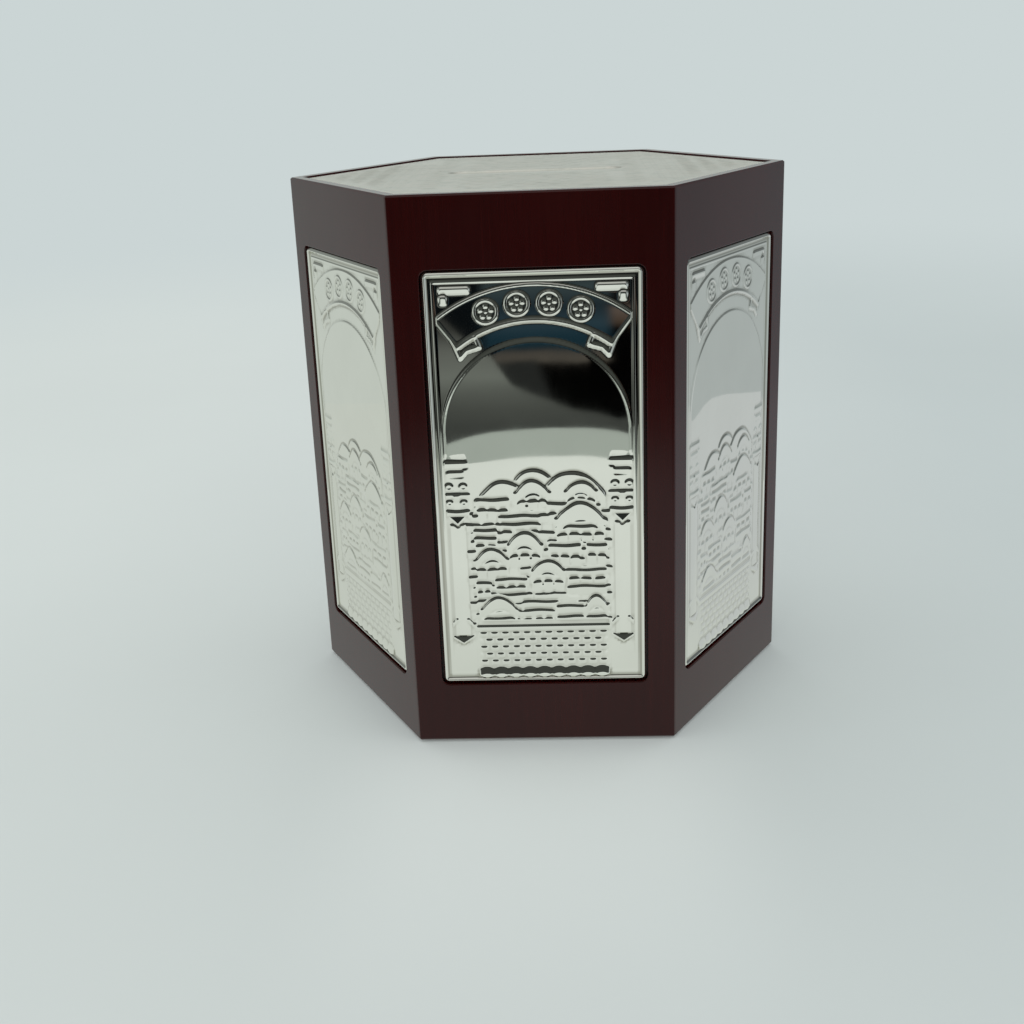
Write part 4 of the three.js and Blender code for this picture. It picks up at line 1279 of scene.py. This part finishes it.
class ALMSBOX_OT_top_plate(bpy.types.Operator):
    """Stamps the hexagonal top plate with its coin slot"""

    bl_idname = "alms_box.top_plate"
    bl_label = "Stamped Top Plate"

    def execute(self, context):
        top, plates = settings("top"), settings("plates")
        spacing = top.spacing / MM * 1
        apothem = TOP_HIGH.y / MM
        wide, deep = apothem / math.cos(SIXTH / 2) + 1, apothem + 1
        sheet = add_grid(
            *(np.linspace(-reach, reach, round(2 * reach / spacing) + 1) for reach in (wide, deep))
        )
        self.trim(sheet, apothem)
        self.cut_slot(sheet)
        points = points_of(sheet)
        x, y = points[:, 0] / MM, points[:, 1] / MM
        relief = self.relief(x, y, apothem)
        set_points(sheet, np.column_stack([x, y, relief]) * MM)
        give_back(sheet, plates.sheet, pierced=True)
        mark_recesses(sheet, x, y, relief)
        smooth(sheet, 50)
        sheet.data.transform(Matrix.Translation((0, 0, TOP_LOW.z)))
        nodes = ["silver_plate_top"]
        finish_piece(sheet, "stamped_top_plate", satin_silver(), "case", nodes)
        return {"FINISHED"}

    def trim(self, sheet, apothem):
        """Cuts the grid to a hexagon along its six sides."""
        with editing(sheet):
            for side in range(6):
                turn = side * SIXTH + SIXTH / 2
                outward = (math.cos(turn), math.sin(turn), 0)
                place = tuple(apothem * MM * c for c in outward)
                bpy.ops.mesh.select_all(action="SELECT")
                bpy.ops.mesh.bisect(plane_co=place, plane_no=outward, clear_outer=True)

    def cut_slot(self, sheet):
        """Takes out the points inside the round-ended slot and draws its rim onto the outline."""
        top = settings("top")
        radius = top.slot_width / 2
        straight = top.slot_length / 2 - radius
        points = points_of(sheet)
        past = np.maximum(np.abs(points[:, 0]) - straight, 0)
        inside = np.hypot(past, points[:, 1]) < radius
        with editing(sheet, "DESELECT"):
            bpy.ops.mesh.select_mode(type="VERT")
        for vertex, gone in zip(sheet.data.vertices, inside):
            vertex.select = bool(gone)
        with editing(sheet, None):
            bpy.ops.mesh.delete(type="VERT")
            bpy.ops.mesh.select_all(action="SELECT")
            bpy.ops.mesh.region_to_loop()
        points = points_of(sheet)
        x, y = points[:, 0], points[:, 1]
        past = np.sign(x) * np.maximum(np.abs(x) - straight, 0)
        rim = np.array([vertex.select for vertex in sheet.data.vertices])
        rim &= (np.abs(past) < 2 * radius) & (np.abs(y) < 2 * radius)
        share = np.where(rim, radius / np.maximum(np.hypot(past, y), 1e-9), 1)
        set_points(sheet, np.column_stack([x - past + past * share, y * share, points[:, 2]]))

    def relief(self, x, y, apothem):
        """Pillars and stones to both sides of the slot, flowers beyond them, all low."""
        top, plates = settings("top"), settings("plates")
        slot_length, slot_width = top.slot_length / MM, top.slot_width / MM
        ax, ay = np.abs(x), np.abs(y)
        edge = apothem - np.maximum(ay, ax * math.sin(SIXTH) + ay * math.cos(SIXTH))
        bead = plates.bead_rise / MM * np.sqrt(1 - (1 - np.clip(edge / 0.6, 0, 1)) ** 2)
        die = Die(x, y, np.zeros(x.shape))
        folded, level = die.over(x=ax), die.over(y=ay)
        for pillar in range(3):
            die.swell(folded.box(1.8, 2 * apothem, 0, 26 + 2.6 * pillar), 0.14, 0.9)
        for column in range(4):
            for row in range(-6, 7):
                flower = folded.disc(34.6 + column * 4.6, (row + 0.5 * (column % 2)) * 5.0, 1.7)
                die.ridge(flower, 1.0, 0.12)
                die.swell(flower + 1.0, 0.12, 0.7)
        for row in range(-8, 9):
            leaf = folded.line((20.0, row * 4.4), (23.2, row * 4.4 + 1.3))
            die.swell(leaf - 0.8, 0.12, 0.8)
        slot = die.box(slot_length, slot_width, slot_width / 2)
        die.ridge(slot - 5.4, 1.2, 0.08)
        for row in range(8):
            for stone in range(7):
                cx = (stone - 3 + 0.5 * (row % 2)) * 4.6
                face = level.box(4.1, 3.1, 0.7, cx, 11.4 + 3.6 * row)
                die.swell(np.maximum(face, ax - 17), 0.11, 0.8)
        work = SHEET + bead + die.relief * eased((edge - 2) / 3)
        rim, lip_end = 0.8, 3.5
        fall = np.cos(np.clip((slot - rim) / (lip_end - rim), 0, 1) * math.pi / 2) ** 2
        lip = SHEET + 0.25 * fall - 0.3 * (1 - np.clip(slot / rim, 0, 1)) ** 2
        return np.where(slot < lip_end, np.where(slot < rim, lip, np.maximum(work, lip)), work)


class ALMSBOX_OT_boards(bpy.types.Operator):
    """Finishes the top and base boards and the adhesive sheets under the plates"""

    bl_idname = "alms_box.boards"
    bl_label = "Boards and Adhesive"

    def execute(self, context):
        board, foam = stained_fibreboard(), foam_sheet()
        finishes = {"top_board": board, "base_board": board, "top_plate_adhesive": foam}
        for side in SIDES:
            finishes[f"plate_adhesive_{side}"] = foam
        for name, material in finishes.items():
            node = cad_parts[name]
            node.data.materials.clear()
            node.data.materials.append(material)
        return {"FINISHED"}


class ALMSBOX_OT_felt(bpy.types.Operator):
    """Makes the hexagonal felt under the base board"""

    bl_idname = "alms_box.felt"
    bl_label = "Base Felt"

    def execute(self, context):
        base = settings("base")
        apothem, thickness, around, inset = FELT_HIGH.y, FELT_HIGH.z - FELT_LOW.z, 96, 0.0004
        felt = add_circle(around, base.felt_hole, FELT_LOW.z, "NOTHING")
        with editing(felt):
            bpy.ops.mesh.extrude_region_move(TRANSFORM_OT_translate={"value": (0, 0, 0)})
        points = points_of(felt)
        outer = np.arange(len(points)) >= around
        angle = np.arctan2(points[:, 1], points[:, 0])
        reach = (apothem - inset) / np.cos(angle % SIXTH - SIXTH / 2)
        points[outer, 0] = (np.cos(angle) * reach)[outer]
        points[outer, 1] = (np.sin(angle) * reach)[outer]
        set_points(felt, points)
        with editing(felt):
            bpy.ops.mesh.subdivide(number_cuts=3)
            bpy.ops.mesh.normals_make_consistent(inside=False)
        apply_modifier(felt, "SOLIDIFY", thickness=thickness, offset=0)
        points = points_of(felt)
        low, high = points[:, 2].min(), points[:, 2].max()
        points[:, 2] = FELT_LOW.z + (points[:, 2] - low) * thickness / (high - low)
        set_points(felt, points)
        apply_modifier(felt, "BEVEL", width=0.0003, segments=3, limit_method="ANGLE")
        smooth(felt, 40)
        finish_piece(felt, "base_felt_pad", wool_felt(), "case", ["base_felt"])
        return {"FINISHED"}


class ALMSBOX_OT_stopper(bpy.types.Operator):
    """Makes the rubber stopper: a cup with a flange and a bar to grip"""

    bl_idname = "alms_box.stopper"
    bl_label = "Base Stopper"

    def execute(self, context):
        low, high = STOPPER_LOW.z, STOPPER_HIGH.z
        rim, body, seat = STOPPER_HIGH.x, 0.0172, low + 0.0018
        profile = (
            (body - 0.0014, high),
            (body - 0.0009, high - 0.0003),
            (body - 0.0007, high - 0.0011),
            (body, seat + 0.0003),
            (body + 0.0004, seat),
            (rim - 0.0005, seat),
            (rim - 0.00012, seat - 0.00018),
            (rim, seat - 0.0005),
            (rim, low + 0.0004),
            (rim - 0.00012, low + 0.00012),
            (rim - 0.0004, low),
            (rim - 0.0026, low),
            (rim - 0.0028, low + 0.0002),
            (rim - 0.0032, low + 0.0002),
            (rim - 0.0034, low),
            (body - 0.0022, low),
            (body - 0.0025, low + 0.0003),
            (body - 0.0030, high - 0.0030),
            (body - 0.0036, high - 0.0024),
        )
        cup = self.turned(profile, settings("base").segments)
        bar = self.grip(body - 0.0026, low + 0.0006, high - 0.0014)
        apply_modifier(cup, "BOOLEAN", operation="UNION", object=bar, solver="EXACT")
        bpy.data.objects.remove(bar)
        smooth(cup, 35)
        rubber = moulded_rubber()
        finish_piece(cup, "rubber_stopper", rubber, "stopper", ["stopper"])
        return {"FINISHED"}

    def turned(self, profile, segments):
        """Draws one disc along a profile of radius and height, as on a lathe."""
        radius, height = profile[0]
        turned = add_circle(segments, radius, height)
        with editing(turned):
            bpy.ops.mesh.duplicate()
            for new_radius, new_height in profile[1:]:
                rise, share = (0, 0, new_height - height), new_radius / radius
                bpy.ops.mesh.extrude_region_move(TRANSFORM_OT_translate={"value": rise})
                bpy.ops.transform.resize(
                    value=(share, share, 1), center_override=(0, 0, new_height)
                )
                radius, height = new_radius, new_height
            bpy.ops.mesh.select_all(action="SELECT")
            bpy.ops.mesh.remove_doubles(threshold=0.000001)
            bpy.ops.mesh.normals_make_consistent(inside=False)
        return turned

    def grip(self, reach, low, high):
        """A bar across the cup, rounded along its lower edges."""
        middle, thick = (low + high) / 2, 0.0034
        deselect()
        bpy.ops.mesh.primitive_cube_add(size=1)
        bar = bpy.context.object
        with editing(bar):
            bpy.ops.transform.resize(value=(2 * reach, thick, high - low))
            bpy.ops.transform.translate(value=(0, 0, middle))
        for edge in bar.data.edges:
            ends = [bar.data.vertices[i].co for i in edge.vertices]
            edge.select = all(p.z < middle for p in ends) and ends[0].y * ends[1].y > 0
        with editing(bar, None):
            bpy.ops.mesh.select_mode(type="EDGE")
            bpy.ops.mesh.bevel(offset=0.0009, segments=5, affect="EDGES")
        return bar


class ALMSBOX_PT_panel(bpy.types.Panel):
    """Lists the settings and the steps of the alms box"""

    bl_label = "Alms Box"
    bl_idname = "ALMSBOX_PT_panel"
    bl_space_type = "VIEW_3D"
    bl_region_type = "UI"
    bl_category = "Alms Box"

    def draw(self, context):
        for name in SETTINGS:
            group = settings(name)
            box = self.layout.box()
            box.label(text=name.title())
            for prop in group.bl_rna.properties:
                if prop.identifier not in ("rna_type", "name"):
                    box.prop(group, prop.identifier)
        for operator in OPERATORS:
            self.layout.operator(operator.bl_idname)


SETTINGS = {
    "case": AlmsBoxCaseSettings,
    "plates": AlmsBoxPlateSettings,
    "top": AlmsBoxTopSettings,
    "base": AlmsBoxBaseSettings,
    "stage": AlmsBoxStageSettings,
}
OPERATORS = (
    ALMSBOX_OT_stage,
    ALMSBOX_OT_walls,
    ALMSBOX_OT_side_plates,
    ALMSBOX_OT_top_plate,
    ALMSBOX_OT_boards,
    ALMSBOX_OT_felt,
    ALMSBOX_OT_stopper,
)


def register():
    for cls in (*SETTINGS.values(), *OPERATORS, ALMSBOX_PT_panel):
        bpy.utils.register_class(cls)
    for name, group in SETTINGS.items():
        setattr(bpy.types.Scene, f"alms_box_{name}", PointerProperty(type=group))


def unregister():
    for name in SETTINGS:
        delattr(bpy.types.Scene, f"alms_box_{name}")
    for cls in (ALMSBOX_PT_panel, *reversed(OPERATORS), *reversed(SETTINGS.values())):
        bpy.utils.unregister_class(cls)


def main():
    register()
    bpy.ops.alms_box.stage()
    bpy.ops.alms_box.walls()
    bpy.ops.alms_box.side_plates()
    bpy.ops.alms_box.top_plate()
    bpy.ops.alms_box.boards()
    bpy.ops.alms_box.felt()
    bpy.ops.alms_box.stopper()


if __name__ == "__main__":
    main()
